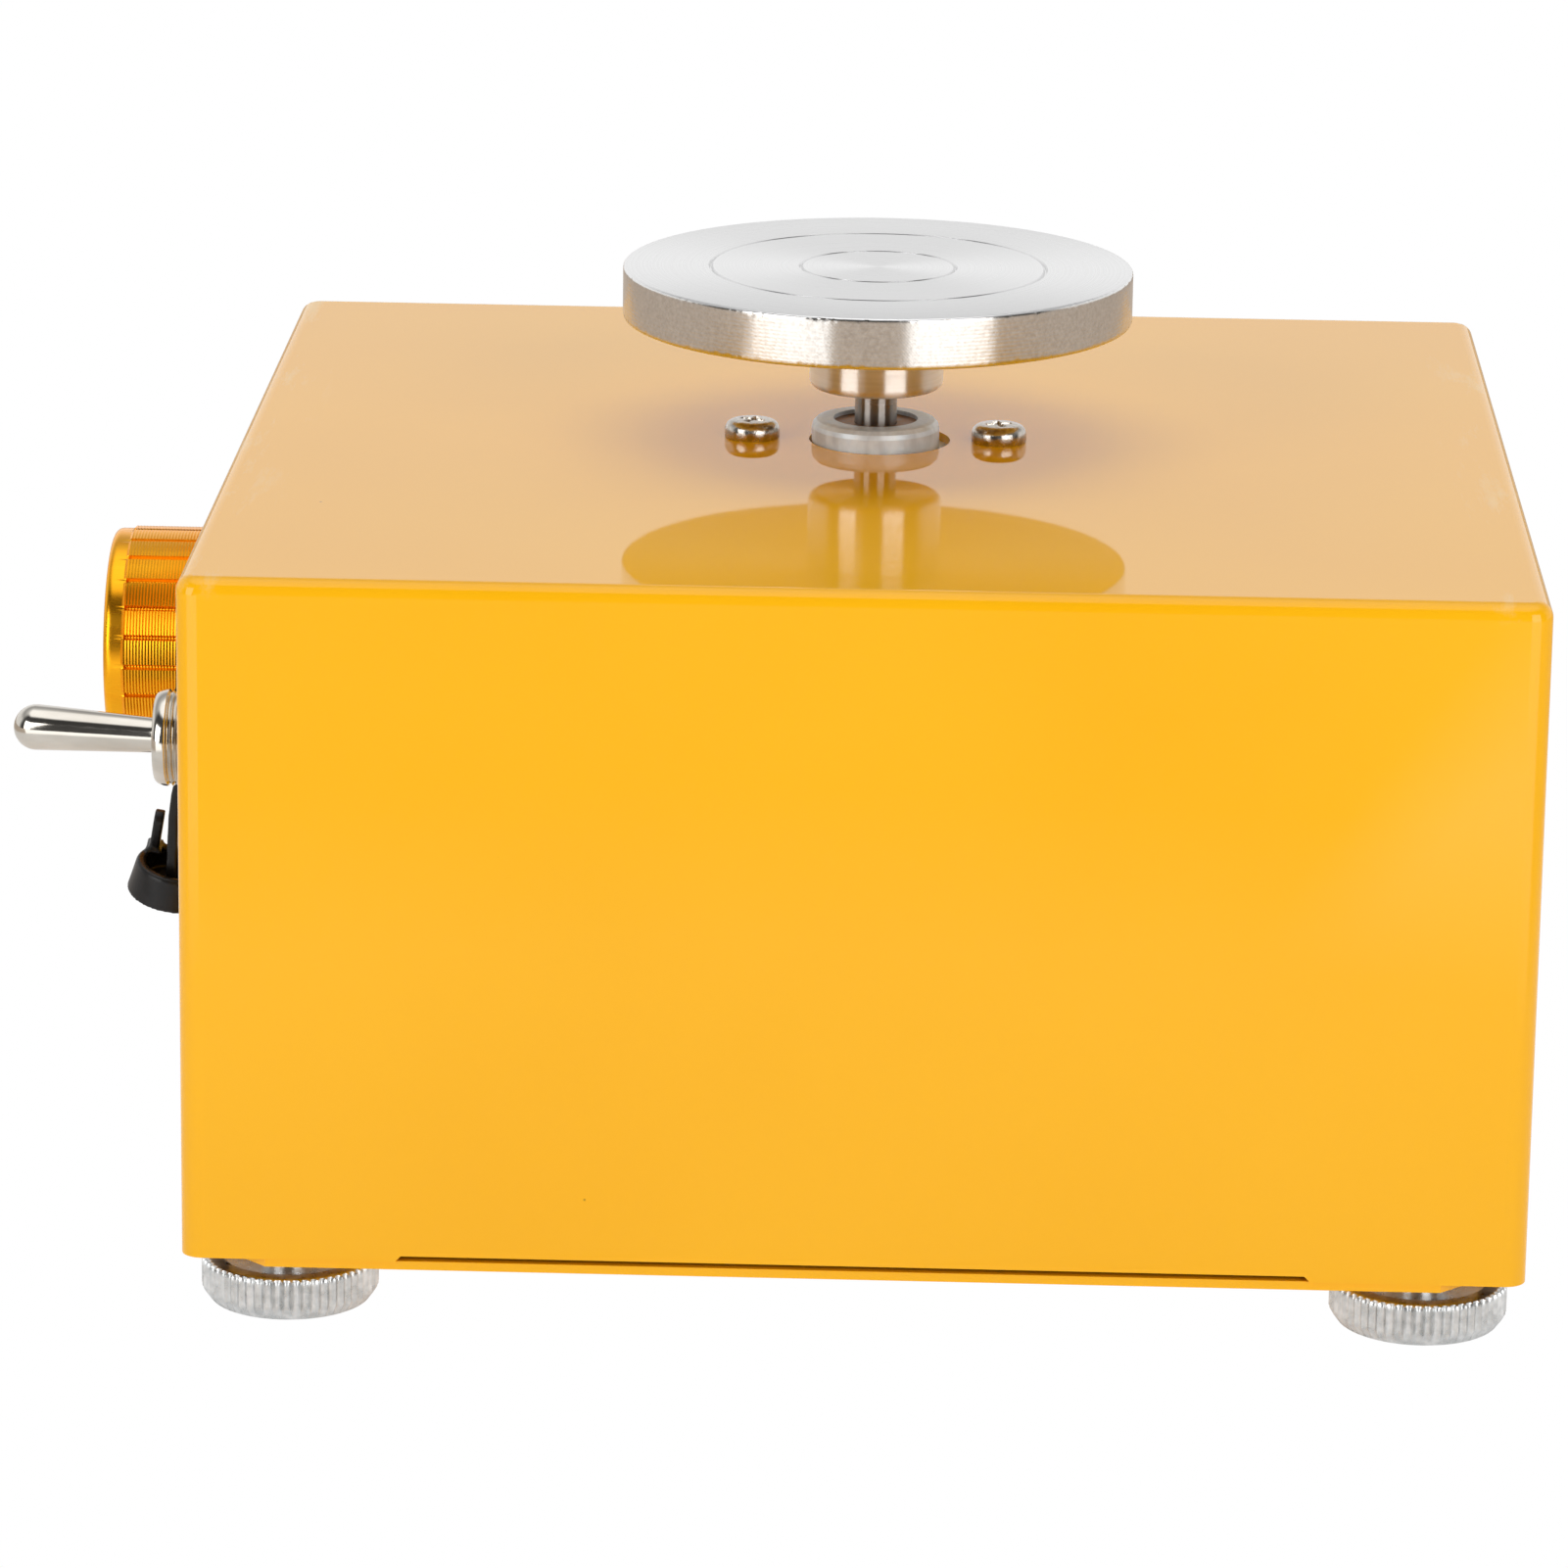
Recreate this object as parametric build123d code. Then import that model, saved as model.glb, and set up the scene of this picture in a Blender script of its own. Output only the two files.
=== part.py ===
"""Tabletop pottery wheel with a motor-driven turntable, in separate named pieces.

Millimetres, +Z up. The side with the controls faces -X. The origin is at the
middle of the whole object's footprint box, at the level the feet stand on.
"""
import math
import os

from build123d import *

os.makedirs("parts", exist_ok=True)

# ---------------------------------------------------------------- housing
BOX_W = 150.0
BOX_D = 150.0
SHEET_T = 1.0
PLATE_T = 1.0
PLATE_INSET_X = 4.5
PLATE_INSET_Y = 0.4
PLATE_CHAMFER = 5.0
PLATE_Z = 6.9
COVER_Z = PLATE_Z + PLATE_T
COVER_H = 78.0
TOP_Z = COVER_Z + COVER_H
CORNER_R = 2.5
TOP_R = 1.8
RELIEF_INSET = 24.0
RELIEF_HALF = BOX_W / 2 - RELIEF_INSET
RELIEF_H = 0.7
FLANGE_W = 12.0
FLANGE_END_GAP = 27.0
FLANGE_LEN = BOX_D - 2 * FLANGE_END_GAP
PLATE_SCREW_INSET_X = 9.0
PLATE_SCREW_INSET_Y = 39.0
PLATE_SCREW_X = BOX_W / 2 - PLATE_SCREW_INSET_X
PLATE_SCREW_Y = BOX_D / 2 - PLATE_SCREW_INSET_Y
PLATE_SCREW_R = 1.5

# ---------------------------------------------------------------- feet
FOOT_R = 10.0
FOOT_INSET_X = 11.3
FOOT_INSET_Y = 11.0
FOOT_X = BOX_W / 2 - FOOT_INSET_X
FOOT_Y = BOX_D / 2 - FOOT_INSET_Y
FOOT_H = 5.0
FOOT_RIDGES = 60
FOOT_RIDGE_DEPTH = 0.28
FOOT_RECESS_R = FOOT_R - 2.4
FOOT_RECESS = 0.35
STUD_R = 3.0
STUD_ABOVE_PLATE = 9.1
STUD_TOP_Z = COVER_Z + STUD_ABOVE_PLATE
FOOT_NUT_AF = STUD_R * 10 / 3
FOOT_NUT_H = 3.5

# ---------------------------------------------------------------- motor
CAN_R = 21.0
CAN_T = 1.0
CAN_LEN = 58.0
CAN_TOP_Z = TOP_Z - SHEET_T
BOSS_R = 7.55
BOSS_H = 2.6
BOSS_OPEN_R = 5.0
BOSS_ROLL = 1.1
PANEL_HOLE_R = 8.35
PANEL_HOLE_DX = 0.5
SCREW_PITCH_HALF = 14.6
SCREW_R = 2.0
SCREW_HEAD_R = 3.25
SCREW_HEAD_H = 2.2
SCREW_DOWN = 5.5
END_CAP_H = 8.0
MAGNET_T = 3.6
MAGNET_IN_R = CAN_R - CAN_T - MAGNET_T
MAGNET_LEN = 38.0
AIR_GAP = 0.6
CORE_R = MAGNET_IN_R - AIR_GAP
CORE_LEN = 34.0
COMM_R = 5.0
RUN_GAP = 0.05
SHAFT_R = 2.5

# ---------------------------------------------------------------- turntable
DISC_RISE = 20.8
DISC_TOP_Z = TOP_Z + DISC_RISE
DISC_R = 30.0
DISC_T = 6.0
DISC_CHAMFER = 0.4
RING_OUT_R = 19.7
RING_IN_R = 9.1
RING_W = 0.35
RING_DEPTH = 0.25
HUB_R = 7.9
HUB_LIFT = 6.4
HUB_BOTTOM_Z = TOP_Z + HUB_LIFT
SHAFT_COVERED = 2.4
SHAFT_TOP_Z = DISC_TOP_Z - SHAFT_COVERED

# ---------------------------------------------------------------- controls
ROW_DROP = 26.9
ROW_Z = TOP_Z - ROW_DROP
KNOB_Y = 2.5
TOGGLE_Y = -42.0
JACK_Y = -22.0
PANEL_X = -BOX_W / 2
KNOB_R = 13.6
KNOB_FACE_OUT = 15.85
KNOB_BACK_OUT = 1.2
KNOB_BAND = 2.2
KNOB_BAND_R = KNOB_R - 0.3
KNOB_EDGE = 0.9
KNOB_GROOVES = 24
KNOB_GROOVE_W = 0.6
KNOB_GROOVE_DEPTH = 0.55
POT_SHAFT_R = 3.0
POT_BUSH_R = 3.5
POT_BODY_R = 8.25
POT_NUT_AF = 10.0
BUSH_R = 5.55
BUSH_WALL = 1.25
BUSH_BORE_R = BUSH_R - BUSH_WALL
BUSH_OUT = 5.9
BUSH_RIM = 1.5
THREAD_DEPTH = 0.3
THREAD_PITCH = 0.62
TOGGLE_NUT_AF = 2 * BUSH_R + 3.0
LEVER_TILT = 10.0
LEVER_REACH = 22.6
LEVER_TIP_R = 2.62
LEVER_ROOT_R = 1.9
LEVER_PIVOT_OUT = 1.4
JACK_BUSH_R = 5.5
JACK_OUT = 5.4
JACK_BORE_R = 3.3
CAP_RING_R = 6.9
CAP_DROP = 20.8
CAP_HEIGHT = 3.9
CAP_RIM_R = 4.7
CAP_BASE_R = 5.3
CAP_WALL = 1.1
CAP_TILT = 10.0
CAP_LEAN = 12.0

LEVER_C = math.cos(math.radians(LEVER_TILT))
LEVER_CENTRE = (LEVER_REACH - LEVER_PIVOT_OUT - LEVER_TIP_R) / LEVER_C
# the lever's tip is the farthest point to -X and the cover's wall the farthest to +X
SX = LEVER_REACH / 2


def at(x, y, z):
    return Pos(SX + x, y, z)


def cyl(r, z0, z1, x=0.0, y=0.0):
    return at(x, y, (z0 + z1) / 2) * Cylinder(r, z1 - z0)


def tube(r_out, r_in, z0, z1, x=0.0, y=0.0):
    return cyl(r_out, z0, z1, x, y) - cyl(r_in, z0 - 1, z1 + 1, x, y)


def block(x0, x1, y0, y1, z0, z1):
    return at((x0 + x1) / 2, (y0 + y1) / 2, (z0 + z1) / 2) * Box(x1 - x0, y1 - y0, z1 - z0)


def xcyl(r, out0, out1, y, z):
    """A cylinder along X that starts and ends at distances out from the control panel."""
    lo = PANEL_X - max(out0, out1)
    hi = PANEL_X - min(out0, out1)
    return at((lo + hi) / 2, y, z) * Rot(0, 90, 0) * Cylinder(r, hi - lo)


def xtube(r_out, r_in, out0, out1, y, z):
    return xcyl(r_out, out0, out1, y, z) - xcyl(r_in, min(out0, out1) - 1, max(out0, out1) + 1, y, z)


def xturned(points, y, z):
    """A solid of revolution about an X axis. Points are (distance out from the panel, radius)."""
    face = make_face(Polyline([(r, 0, o) for o, r in points], close=True))
    solid = revolve(face, Axis.Z)
    return at(PANEL_X, y, z) * Rot(0, -90, 0) * solid


def zturned(points, x=0.0, y=0.0):
    face = make_face(Polyline([(r, 0, z) for r, z in points], close=True))
    return at(x, y, 0) * revolve(face, Axis.Z)


def xhex(af, r_in, out0, out1, y, z):
    lo = PANEL_X - max(out0, out1)
    prism = extrude(RegularPolygon(af / math.sqrt(3), 6), max(out0, out1) - min(out0, out1))
    return at(lo, y, z) * Rot(0, 90, 0) * prism - xcyl(r_in, min(out0, out1) - 1, max(out0, out1) + 1, y, z)


def zhex(af, r_in, z0, z1, x, y):
    prism = extrude(RegularPolygon(af / math.sqrt(3), 6), z1 - z0)
    return at(x, y, z0) * prism - cyl(r_in, z0 - 1, z1 + 1, x, y)


def wire(r, bend, *points):
    path = FilletPolyline(*[(SX + x, y, z) for x, y, z in points], radius=bend)
    start = path @ 0
    return sweep(Plane(origin=start, z_dir=path % 0) * Circle(r), path)


def save(shape, name):
    shape.label = name
    export_step(shape, "parts/" + name + ".step")


def group(solids):
    return Compound(children=[s for part in solids for s in part.solids()])


# ================================================================ housing
# The cover is one folded sheet, open underneath, with a turned-in flange on each side.
HALF_W = BOX_W / 2
HALF_D = BOX_D / 2
outer = block(-HALF_W, HALF_W, -HALF_D, HALF_D, COVER_Z, TOP_Z)
outer = fillet(outer.edges().filter_by(Axis.Z), CORNER_R)
outer = fillet(outer.faces().sort_by(Axis.Z)[-1].edges(), TOP_R)
inner = block(-HALF_W + SHEET_T, HALF_W - SHEET_T, -HALF_D + SHEET_T, HALF_D - SHEET_T, COVER_Z - 1, TOP_Z - SHEET_T)
inner = fillet(inner.edges().filter_by(Axis.Z), CORNER_R - SHEET_T)
inner = fillet(inner.faces().sort_by(Axis.Z)[-1].edges(), TOP_R - SHEET_T)
cover = outer - inner
for side in (-1, 1):
    lo = min(side * (HALF_W - SHEET_T), side * (HALF_W - SHEET_T - FLANGE_W))
    cover += block(lo, lo + FLANGE_W, -FLANGE_LEN / 2, FLANGE_LEN / 2, COVER_Z, COVER_Z + SHEET_T)
relief = make_face(
    Polyline(
        [
            (-RELIEF_HALF, 0, 0),
            (-RELIEF_HALF + RELIEF_H, 0, RELIEF_H),
            (RELIEF_HALF - RELIEF_H, 0, RELIEF_H),
            (RELIEF_HALF, 0, 0),
        ],
        close=True,
    )
)
cover -= at(0, -HALF_D + SHEET_T + 0.5, COVER_Z) * extrude(relief, SHEET_T + 2, dir=(0, -1, 0))
cover -= cyl(PANEL_HOLE_R, TOP_Z - 3, TOP_Z + 1, PANEL_HOLE_DX)
for side in (-1, 1):
    cover -= cyl(SCREW_R + 0.2, TOP_Z - 3, TOP_Z + 1, side * SCREW_PITCH_HALF)
    for y in (-PLATE_SCREW_Y, PLATE_SCREW_Y):
        cover -= cyl(PLATE_SCREW_R, COVER_Z - 1, COVER_Z + 3, side * PLATE_SCREW_X, y)
cover -= xcyl(POT_BUSH_R + 0.1, -2, 1, KNOB_Y, ROW_Z)
cover -= xcyl(BUSH_R + 0.1, -2, 1, TOGGLE_Y, ROW_Z)
cover -= xcyl(JACK_BUSH_R + 0.1, -2, 1, JACK_Y, ROW_Z)
save(cover, "cover")

plate = block(-HALF_W + PLATE_INSET_X, HALF_W - PLATE_INSET_X, -HALF_D + PLATE_INSET_Y, HALF_D - PLATE_INSET_Y, PLATE_Z, COVER_Z)
plate = chamfer(plate.edges().filter_by(Axis.Z), PLATE_CHAMFER)
FEET = {"front_left": (-1, -1), "front_right": (1, -1), "back_left": (-1, 1), "back_right": (1, 1)}
for sx, sy in FEET.values():
    plate -= cyl(STUD_R + RUN_GAP, PLATE_Z - 1, COVER_Z + 1, sx * FOOT_X, sy * FOOT_Y)
    plate -= cyl(PLATE_SCREW_R + 0.2, PLATE_Z - 1, COVER_Z + 1, sx * PLATE_SCREW_X, sy * PLATE_SCREW_Y)
BOARD_X1 = HALF_W - 14.0
BOARD_X0 = BOARD_X1 - 34.0
BOARD_Y0, BOARD_Y1 = -30.0, 30.0
BOARD_Z = COVER_Z + 5.1
BOARD_T = 1.6
BOARD_HOLES = [(BOARD_X0 + 4, BOARD_Y0 + 4), (BOARD_X1 - 4, BOARD_Y0 + 4), (BOARD_X0 + 4, BOARD_Y1 - 4), (BOARD_X1 - 4, BOARD_Y1 - 4)]
for x, y in BOARD_HOLES:
    plate -= cyl(1.5, PLATE_Z - 1, COVER_Z + 1, x, y)
save(plate, "bottom_plate")

plate_screws = []
for sx, sy in FEET.values():
    x, y = sx * PLATE_SCREW_X, sy * PLATE_SCREW_Y
    body = cyl(PLATE_SCREW_R, PLATE_Z, COVER_Z + SHEET_T + 2, x, y) + cyl(2.8, PLATE_Z - 1.7, PLATE_Z, x, y)
    body -= block(x - 1.6, x + 1.6, y - 0.4, y + 0.4, PLATE_Z - 2, PLATE_Z - 0.9)
    body -= block(x - 0.4, x + 0.4, y - 1.6, y + 1.6, PLATE_Z - 2, PLATE_Z - 0.9)
    plate_screws.append(body)
save(group(plate_screws), "plate_screws")

# ================================================================ feet
# Each foot is a knurled steel disc on a threaded stud that screws through a nut on the plate.
ridge_pts = []
for i in range(FOOT_RIDGES):
    a = 2 * math.pi * i / FOOT_RIDGES
    b = a + math.pi / FOOT_RIDGES
    ridge_pts.append((FOOT_R * math.cos(a), FOOT_R * math.sin(a)))
    ridge_pts.append(((FOOT_R - FOOT_RIDGE_DEPTH) * math.cos(b), (FOOT_R - FOOT_RIDGE_DEPTH) * math.sin(b)))
ridged = extrude(make_face(Polyline(ridge_pts, close=True)), FOOT_H)
envelope = Cylinder(FOOT_R, FOOT_H, align=(Align.CENTER, Align.CENTER, Align.MIN))
envelope = chamfer(envelope.faces().sort_by(Axis.Z)[0].edges(), 1.1)
envelope = fillet(envelope.faces().sort_by(Axis.Z)[-1].edges(), 0.5)
disc_blank = ridged & envelope
disc_blank -= Pos(0, 0, FOOT_H) * Cylinder(FOOT_RECESS_R, 2 * FOOT_RECESS)
disc_blank -= Pos(0, 0, FOOT_H) * Cylinder(STUD_R + RUN_GAP, 2 * (FOOT_H - 1.2))
for name, (sx, sy) in FEET.items():
    x, y = sx * FOOT_X, sy * FOOT_Y
    save(at(x, y, 0) * disc_blank, "foot_disc_" + name)
    stud = cyl(STUD_R, 1.25, STUD_TOP_Z, x, y)
    stud = chamfer(stud.faces().sort_by(Axis.Z)[-1].edges(), 0.5)
    save(stud, "foot_stud_" + name)
nuts = [zhex(FOOT_NUT_AF, STUD_R + RUN_GAP, COVER_Z, COVER_Z + FOOT_NUT_H, sx * FOOT_X, sy * FOOT_Y) for sx, sy in FEET.values()]
save(group(nuts), "foot_nuts")

# ================================================================ motor
# A drawn steel can closed by a moulded end cap, with its nose standing out of the cover.
CAN_BOTTOM_Z = CAN_TOP_Z - CAN_LEN
can = cyl(CAN_R, CAN_BOTTOM_Z, CAN_TOP_Z)
can = fillet(can.faces().sort_by(Axis.Z)[-1].edges(), 1.2)
boss = zturned(
    [
        (0, CAN_TOP_Z - 1),
        (BOSS_R, CAN_TOP_Z - 1),
        (BOSS_R, TOP_Z + BOSS_H - BOSS_ROLL),
        (BOSS_R - 0.12 * BOSS_ROLL, TOP_Z + BOSS_H - 0.5 * BOSS_ROLL),
        (BOSS_R - 0.5 * BOSS_ROLL, TOP_Z + BOSS_H - 0.12 * BOSS_ROLL),
        (BOSS_R - BOSS_ROLL, TOP_Z + BOSS_H),
        (0, TOP_Z + BOSS_H),
    ]
)
can += boss
can -= cyl(CAN_R - CAN_T, CAN_BOTTOM_Z - 1, CAN_TOP_Z - 1.5)
can -= cyl(BOSS_OPEN_R, CAN_TOP_Z - 5, TOP_Z + BOSS_H + 1)
for side in (-1, 1):
    can -= cyl(SCREW_R, CAN_TOP_Z - 3, CAN_TOP_Z + 1, side * SCREW_PITCH_HALF)
for a in range(0, 360, 60):
    can -= at(0, 0, 0) * Rot(0, 0, a + 30) * Pos(CAN_R - 7.5, 0, CAN_TOP_Z) * Cylinder(1.6, 6)
save(can, "motor_can")

END_Z = CAN_BOTTOM_Z - END_CAP_H
BLADE_X = CAN_R - 4.0
end_cap = cyl(CAN_R - 0.3, CAN_BOTTOM_Z - 3, CAN_BOTTOM_Z) + cyl(CAN_R - 7.0, END_Z, CAN_BOTTOM_Z - 3)
end_cap += cyl(CAN_R - CAN_T, CAN_BOTTOM_Z, CAN_BOTTOM_Z + 3)
end_cap -= cyl(CAN_R - 9.0, END_Z + 3, CAN_BOTTOM_Z + 4)
end_cap -= cyl(5.0, END_Z - 1, END_Z + 4)
for side in (-1, 1):
    end_cap -= block(side * BLADE_X - 0.4, side * BLADE_X + 0.4, -3.15, 3.15, END_Z - 1, CAN_BOTTOM_Z + 4)
save(end_cap, "motor_end_cap")

BUSH_TOP_Z = TOP_Z + BOSS_H - 0.5
front_bush = tube(BOSS_OPEN_R, SHAFT_R + RUN_GAP, BUSH_TOP_Z - 7, BUSH_TOP_Z)
rear_bush = tube(5.0, SHAFT_R + RUN_GAP, END_Z - 0.5, END_Z + 3)
save(group([front_bush, rear_bush]), "motor_bushings")

CORE_TOP_Z = CAN_TOP_Z - 12
CORE_BOTTOM_Z = CORE_TOP_Z - CORE_LEN
MAG_MID_Z = (CORE_TOP_Z + CORE_BOTTOM_Z) / 2
mag_ring = tube(CAN_R - CAN_T, MAGNET_IN_R, MAG_MID_Z - MAGNET_LEN / 2, MAG_MID_Z + MAGNET_LEN / 2)
magnets = []
for side in (-1, 1):
    lo, hi = (7.0, CAN_R + 4.0) if side > 0 else (-CAN_R - 4.0, -7.0)
    magnets.append(mag_ring & block(lo, hi, -14, 14, MAG_MID_Z - 25, MAG_MID_Z + 25))
save(group(magnets), "motor_magnets")

COMM_TOP_Z = CAN_BOTTOM_Z + 9
COMM_BOTTOM_Z = CAN_BOTTOM_Z - 2
BRUSH_Z = CAN_BOTTOM_Z + 1
BRUSH_OUT = COMM_R + 6.3
brushes = []
terminals = []
for side in (-1, 1):
    lo = COMM_R + 0.3 if side > 0 else -COMM_R - 6.3
    brushes.append(block(lo, lo + 6.0, -2.0, 2.0, BRUSH_Z - 2.0, BRUSH_Z + 2.0))
    blade = block(side * BLADE_X - 0.4, side * BLADE_X + 0.4, -3.15, 3.15, END_Z - 4, CAN_BOTTOM_Z + 4)
    arm_lo = min(side * BRUSH_OUT, side * BLADE_X)
    arm = block(arm_lo, arm_lo + BLADE_X - BRUSH_OUT, -2.0, 2.0, CAN_BOTTOM_Z + 3.2, CAN_BOTTOM_Z + 4.0)
    tip_lo = min(side * BRUSH_OUT, side * (BRUSH_OUT + 0.4))
    arm += block(tip_lo, tip_lo + 0.4, -2.0, 2.0, BRUSH_Z - 1.5, CAN_BOTTOM_Z + 4.0)
    terminals.append(blade + arm)
save(group(brushes), "motor_brushes")
save(group(terminals), "motor_terminals")


def pan_head_screw(x, y):
    z = TOP_Z
    head = zturned(
        [
            (0, z),
            (SCREW_HEAD_R, z),
            (SCREW_HEAD_R, z + 0.28 * SCREW_HEAD_H),
            (0.94 * SCREW_HEAD_R, z + 0.5 * SCREW_HEAD_H),
            (0.8 * SCREW_HEAD_R, z + 0.72 * SCREW_HEAD_H),
            (0.6 * SCREW_HEAD_R, z + 0.88 * SCREW_HEAD_H),
            (0.33 * SCREW_HEAD_R, z + 0.98 * SCREW_HEAD_H),
            (0, z + SCREW_HEAD_H),
        ],
        x,
        y,
    )
    body = head + cyl(SCREW_R, z - SCREW_DOWN, z, x, y)
    for a in (0, 90):
        slot = Box(0.9, 3.6, 3.0)
        body -= at(x, y, z + SCREW_HEAD_H) * Rot(0, 0, a + 35) * slot
    return body


save(group([pan_head_screw(-SCREW_PITCH_HALF, 0), pan_head_screw(SCREW_PITCH_HALF, 0)]), "motor_screws")

# ---------------------------------------------------------------- rotor
shaft = cyl(SHAFT_R, END_Z - 1.5, SHAFT_TOP_Z)
shaft = chamfer(shaft.edges().filter_by(GeomType.CIRCLE), 0.3)
shaft -= block(-4, 4, SHAFT_R - 0.5, 4, HUB_BOTTOM_Z - 2, SHAFT_TOP_Z + 1)
save(shaft, "motor_shaft")

core = tube(CORE_R, SHAFT_R, CORE_BOTTOM_Z, CORE_TOP_Z)
for i in range(5):
    slot = Pos(CORE_R - 4.6, 0, MAG_MID_Z) * Cylinder(3.1, CORE_LEN + 2)
    slot += Pos(CORE_R - 1.3, 0, MAG_MID_Z) * Box(4.0, 1.6, CORE_LEN + 2)
    core -= at(0, 0, 0) * Rot(0, 0, 72 * i + 36) * slot
save(core, "rotor_core")

windings = []
for i in range(5):
    bundle = Pos(CORE_R - 4.6, 0, MAG_MID_Z) * Cylinder(2.9, CORE_LEN + 5)
    bundle = fillet(bundle.edges().filter_by(GeomType.CIRCLE), 1.0)
    windings.append(at(0, 0, 0) * Rot(0, 0, 72 * i + 36) * bundle)
ring_top = tube(CORE_R - 2.6, CORE_R - 7.3, CORE_TOP_Z, CORE_TOP_Z + 3.5)
ring_bottom = tube(CORE_R - 2.6, CORE_R - 7.3, CORE_BOTTOM_Z - 3.5, CORE_BOTTOM_Z)
coil = ring_top + ring_bottom
for w in windings:
    coil += w
save(coil, "rotor_windings")

comm = tube(COMM_R, SHAFT_R, COMM_BOTTOM_Z, COMM_TOP_Z)
for i in range(5):
    comm -= at(0, 0, 0) * Rot(0, 0, 72 * i) * Pos(COMM_R, 0, CAN_BOTTOM_Z + 2) * Box(1.2, 0.5, 16)
save(comm, "rotor_commutator")

# ---------------------------------------------------------------- turntable
DISC_Z = DISC_TOP_Z - DISC_T
disc = cyl(DISC_R, DISC_Z, DISC_TOP_Z)
disc = chamfer(disc.edges().filter_by(GeomType.CIRCLE), DISC_CHAMFER)
for r in (RING_OUT_R, RING_IN_R):
    disc -= tube(r + RING_W / 2, r - RING_W / 2, DISC_TOP_Z - RING_DEPTH, DISC_TOP_Z + 1)
disc -= cyl(6.0, DISC_Z - 1, DISC_TOP_Z - 1.2)
save(disc, "turntable")

hub = cyl(HUB_R, HUB_BOTTOM_Z, DISC_Z)
hub = fillet(hub.faces().sort_by(Axis.Z)[0].edges(), 1.0)
hub += cyl(6.0, DISC_Z - 1, DISC_TOP_Z - 1.2)
hub -= cyl(SHAFT_R, HUB_BOTTOM_Z - 1, SHAFT_TOP_Z)
HUB_SCREW_Z = (HUB_BOTTOM_Z + DISC_Z) / 2
hub += at(0, SHAFT_R - 0.25, (HUB_BOTTOM_Z + SHAFT_TOP_Z) / 2 + 0.5) * Box(2.0, 0.5, SHAFT_TOP_Z - HUB_BOTTOM_Z - 3)
screw_hole = at(0, (SHAFT_R - 0.5 + HUB_R) / 2 + 0.5, HUB_SCREW_Z) * Rot(90, 0, 0) * Cylinder(1.5, HUB_R - SHAFT_R + 1.5)
hub -= screw_hole
save(hub, "turntable_hub")
hub_screw = at(0, SHAFT_R - 0.5 + 2.25, HUB_SCREW_Z) * Rot(90, 0, 0) * Cylinder(1.5, 4.5)
hub_screw -= at(0, SHAFT_R + 4.0, HUB_SCREW_Z) * Rot(90, 0, 0) * extrude(RegularPolygon(0.85, 6), 1.4, both=True)
save(hub_screw, "hub_set_screw")

# ================================================================ speed control
KNOB_SIDE = KNOB_FACE_OUT - KNOB_BAND
knob = xturned(
    [
        (KNOB_BACK_OUT, 0),
        (KNOB_BACK_OUT, KNOB_R - 0.4),
        (KNOB_BACK_OUT + 0.4, KNOB_R),
        (KNOB_SIDE - 0.25, KNOB_R),
        (KNOB_SIDE, KNOB_BAND_R),
        (KNOB_FACE_OUT - KNOB_EDGE, KNOB_BAND_R),
        (KNOB_FACE_OUT - 0.3 * KNOB_EDGE, KNOB_BAND_R - 0.3 * KNOB_EDGE),
        (KNOB_FACE_OUT, KNOB_BAND_R - KNOB_EDGE),
        (KNOB_FACE_OUT, KNOB_R - 3.4),
        (KNOB_FACE_OUT - 0.5, KNOB_R - 3.8),
        (KNOB_FACE_OUT - 0.5, 0),
    ],
    KNOB_Y,
    ROW_Z,
)
for i in range(KNOB_GROOVES):
    cut = Pos(0, KNOB_R, 0) * Box(KNOB_SIDE, 2 * KNOB_GROOVE_DEPTH, KNOB_GROOVE_W)
    cut = Pos(-(KNOB_SIDE - KNOB_SIDE / 2) + 0.15, 0, 0) * cut
    knob -= at(PANEL_X, KNOB_Y, ROW_Z) * Rot(360.0 * i / KNOB_GROOVES, 0, 0) * cut
knob -= xcyl(9.0, 0, 6.0, KNOB_Y, ROW_Z)
knob -= xcyl(POT_SHAFT_R, 0, 13.0, KNOB_Y, ROW_Z)
KNOB_SCREW_OUT = 9.0
knob_hole = at(PANEL_X - KNOB_SCREW_OUT, KNOB_Y + (KNOB_R + 2) / 2 + 1, ROW_Z) * Rot(90, 0, 0) * Cylinder(1.5, KNOB_R + 2)
knob -= knob_hole - xcyl(POT_SHAFT_R, 0, 14, KNOB_Y, ROW_Z)
save(knob, "speed_knob")
knob_screw = at(PANEL_X - KNOB_SCREW_OUT, KNOB_Y + POT_SHAFT_R + 3.5, ROW_Z) * Rot(90, 0, 0) * Cylinder(1.5, 6.0)
knob_screw -= xcyl(POT_SHAFT_R, 0, 14, KNOB_Y, ROW_Z)
save(knob_screw, "knob_set_screw")

pot_shaft = xcyl(POT_SHAFT_R, 6.0, 13.0, KNOB_Y, ROW_Z) + xcyl(POT_BUSH_R - 1.1, -6.0, 6.0, KNOB_Y, ROW_Z)
save(pot_shaft, "pot_shaft")
pot_wiper = xcyl(5.5, -7.0, -6.0, KNOB_Y, ROW_Z)
pot_wiper -= at(PANEL_X + 6.5, KNOB_Y - 6.0, ROW_Z) * Box(3, 6, 12)
save(pot_wiper, "pot_wiper")
pot_body = xcyl(POT_BODY_R, -10.0, -SHEET_T - 0.8, KNOB_Y, ROW_Z)
pot_body -= xcyl(6.4, -8.5, -4.0, KNOB_Y, ROW_Z)
pot_body -= xcyl(POT_BUSH_R, -5.0, 0, KNOB_Y, ROW_Z)
save(pot_body, "pot_body")
pot_bush = xtube(POT_BUSH_R, POT_BUSH_R - 1.1 + RUN_GAP, -4.0, 4.6, KNOB_Y, ROW_Z)
save(pot_bush, "pot_bushing")
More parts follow.
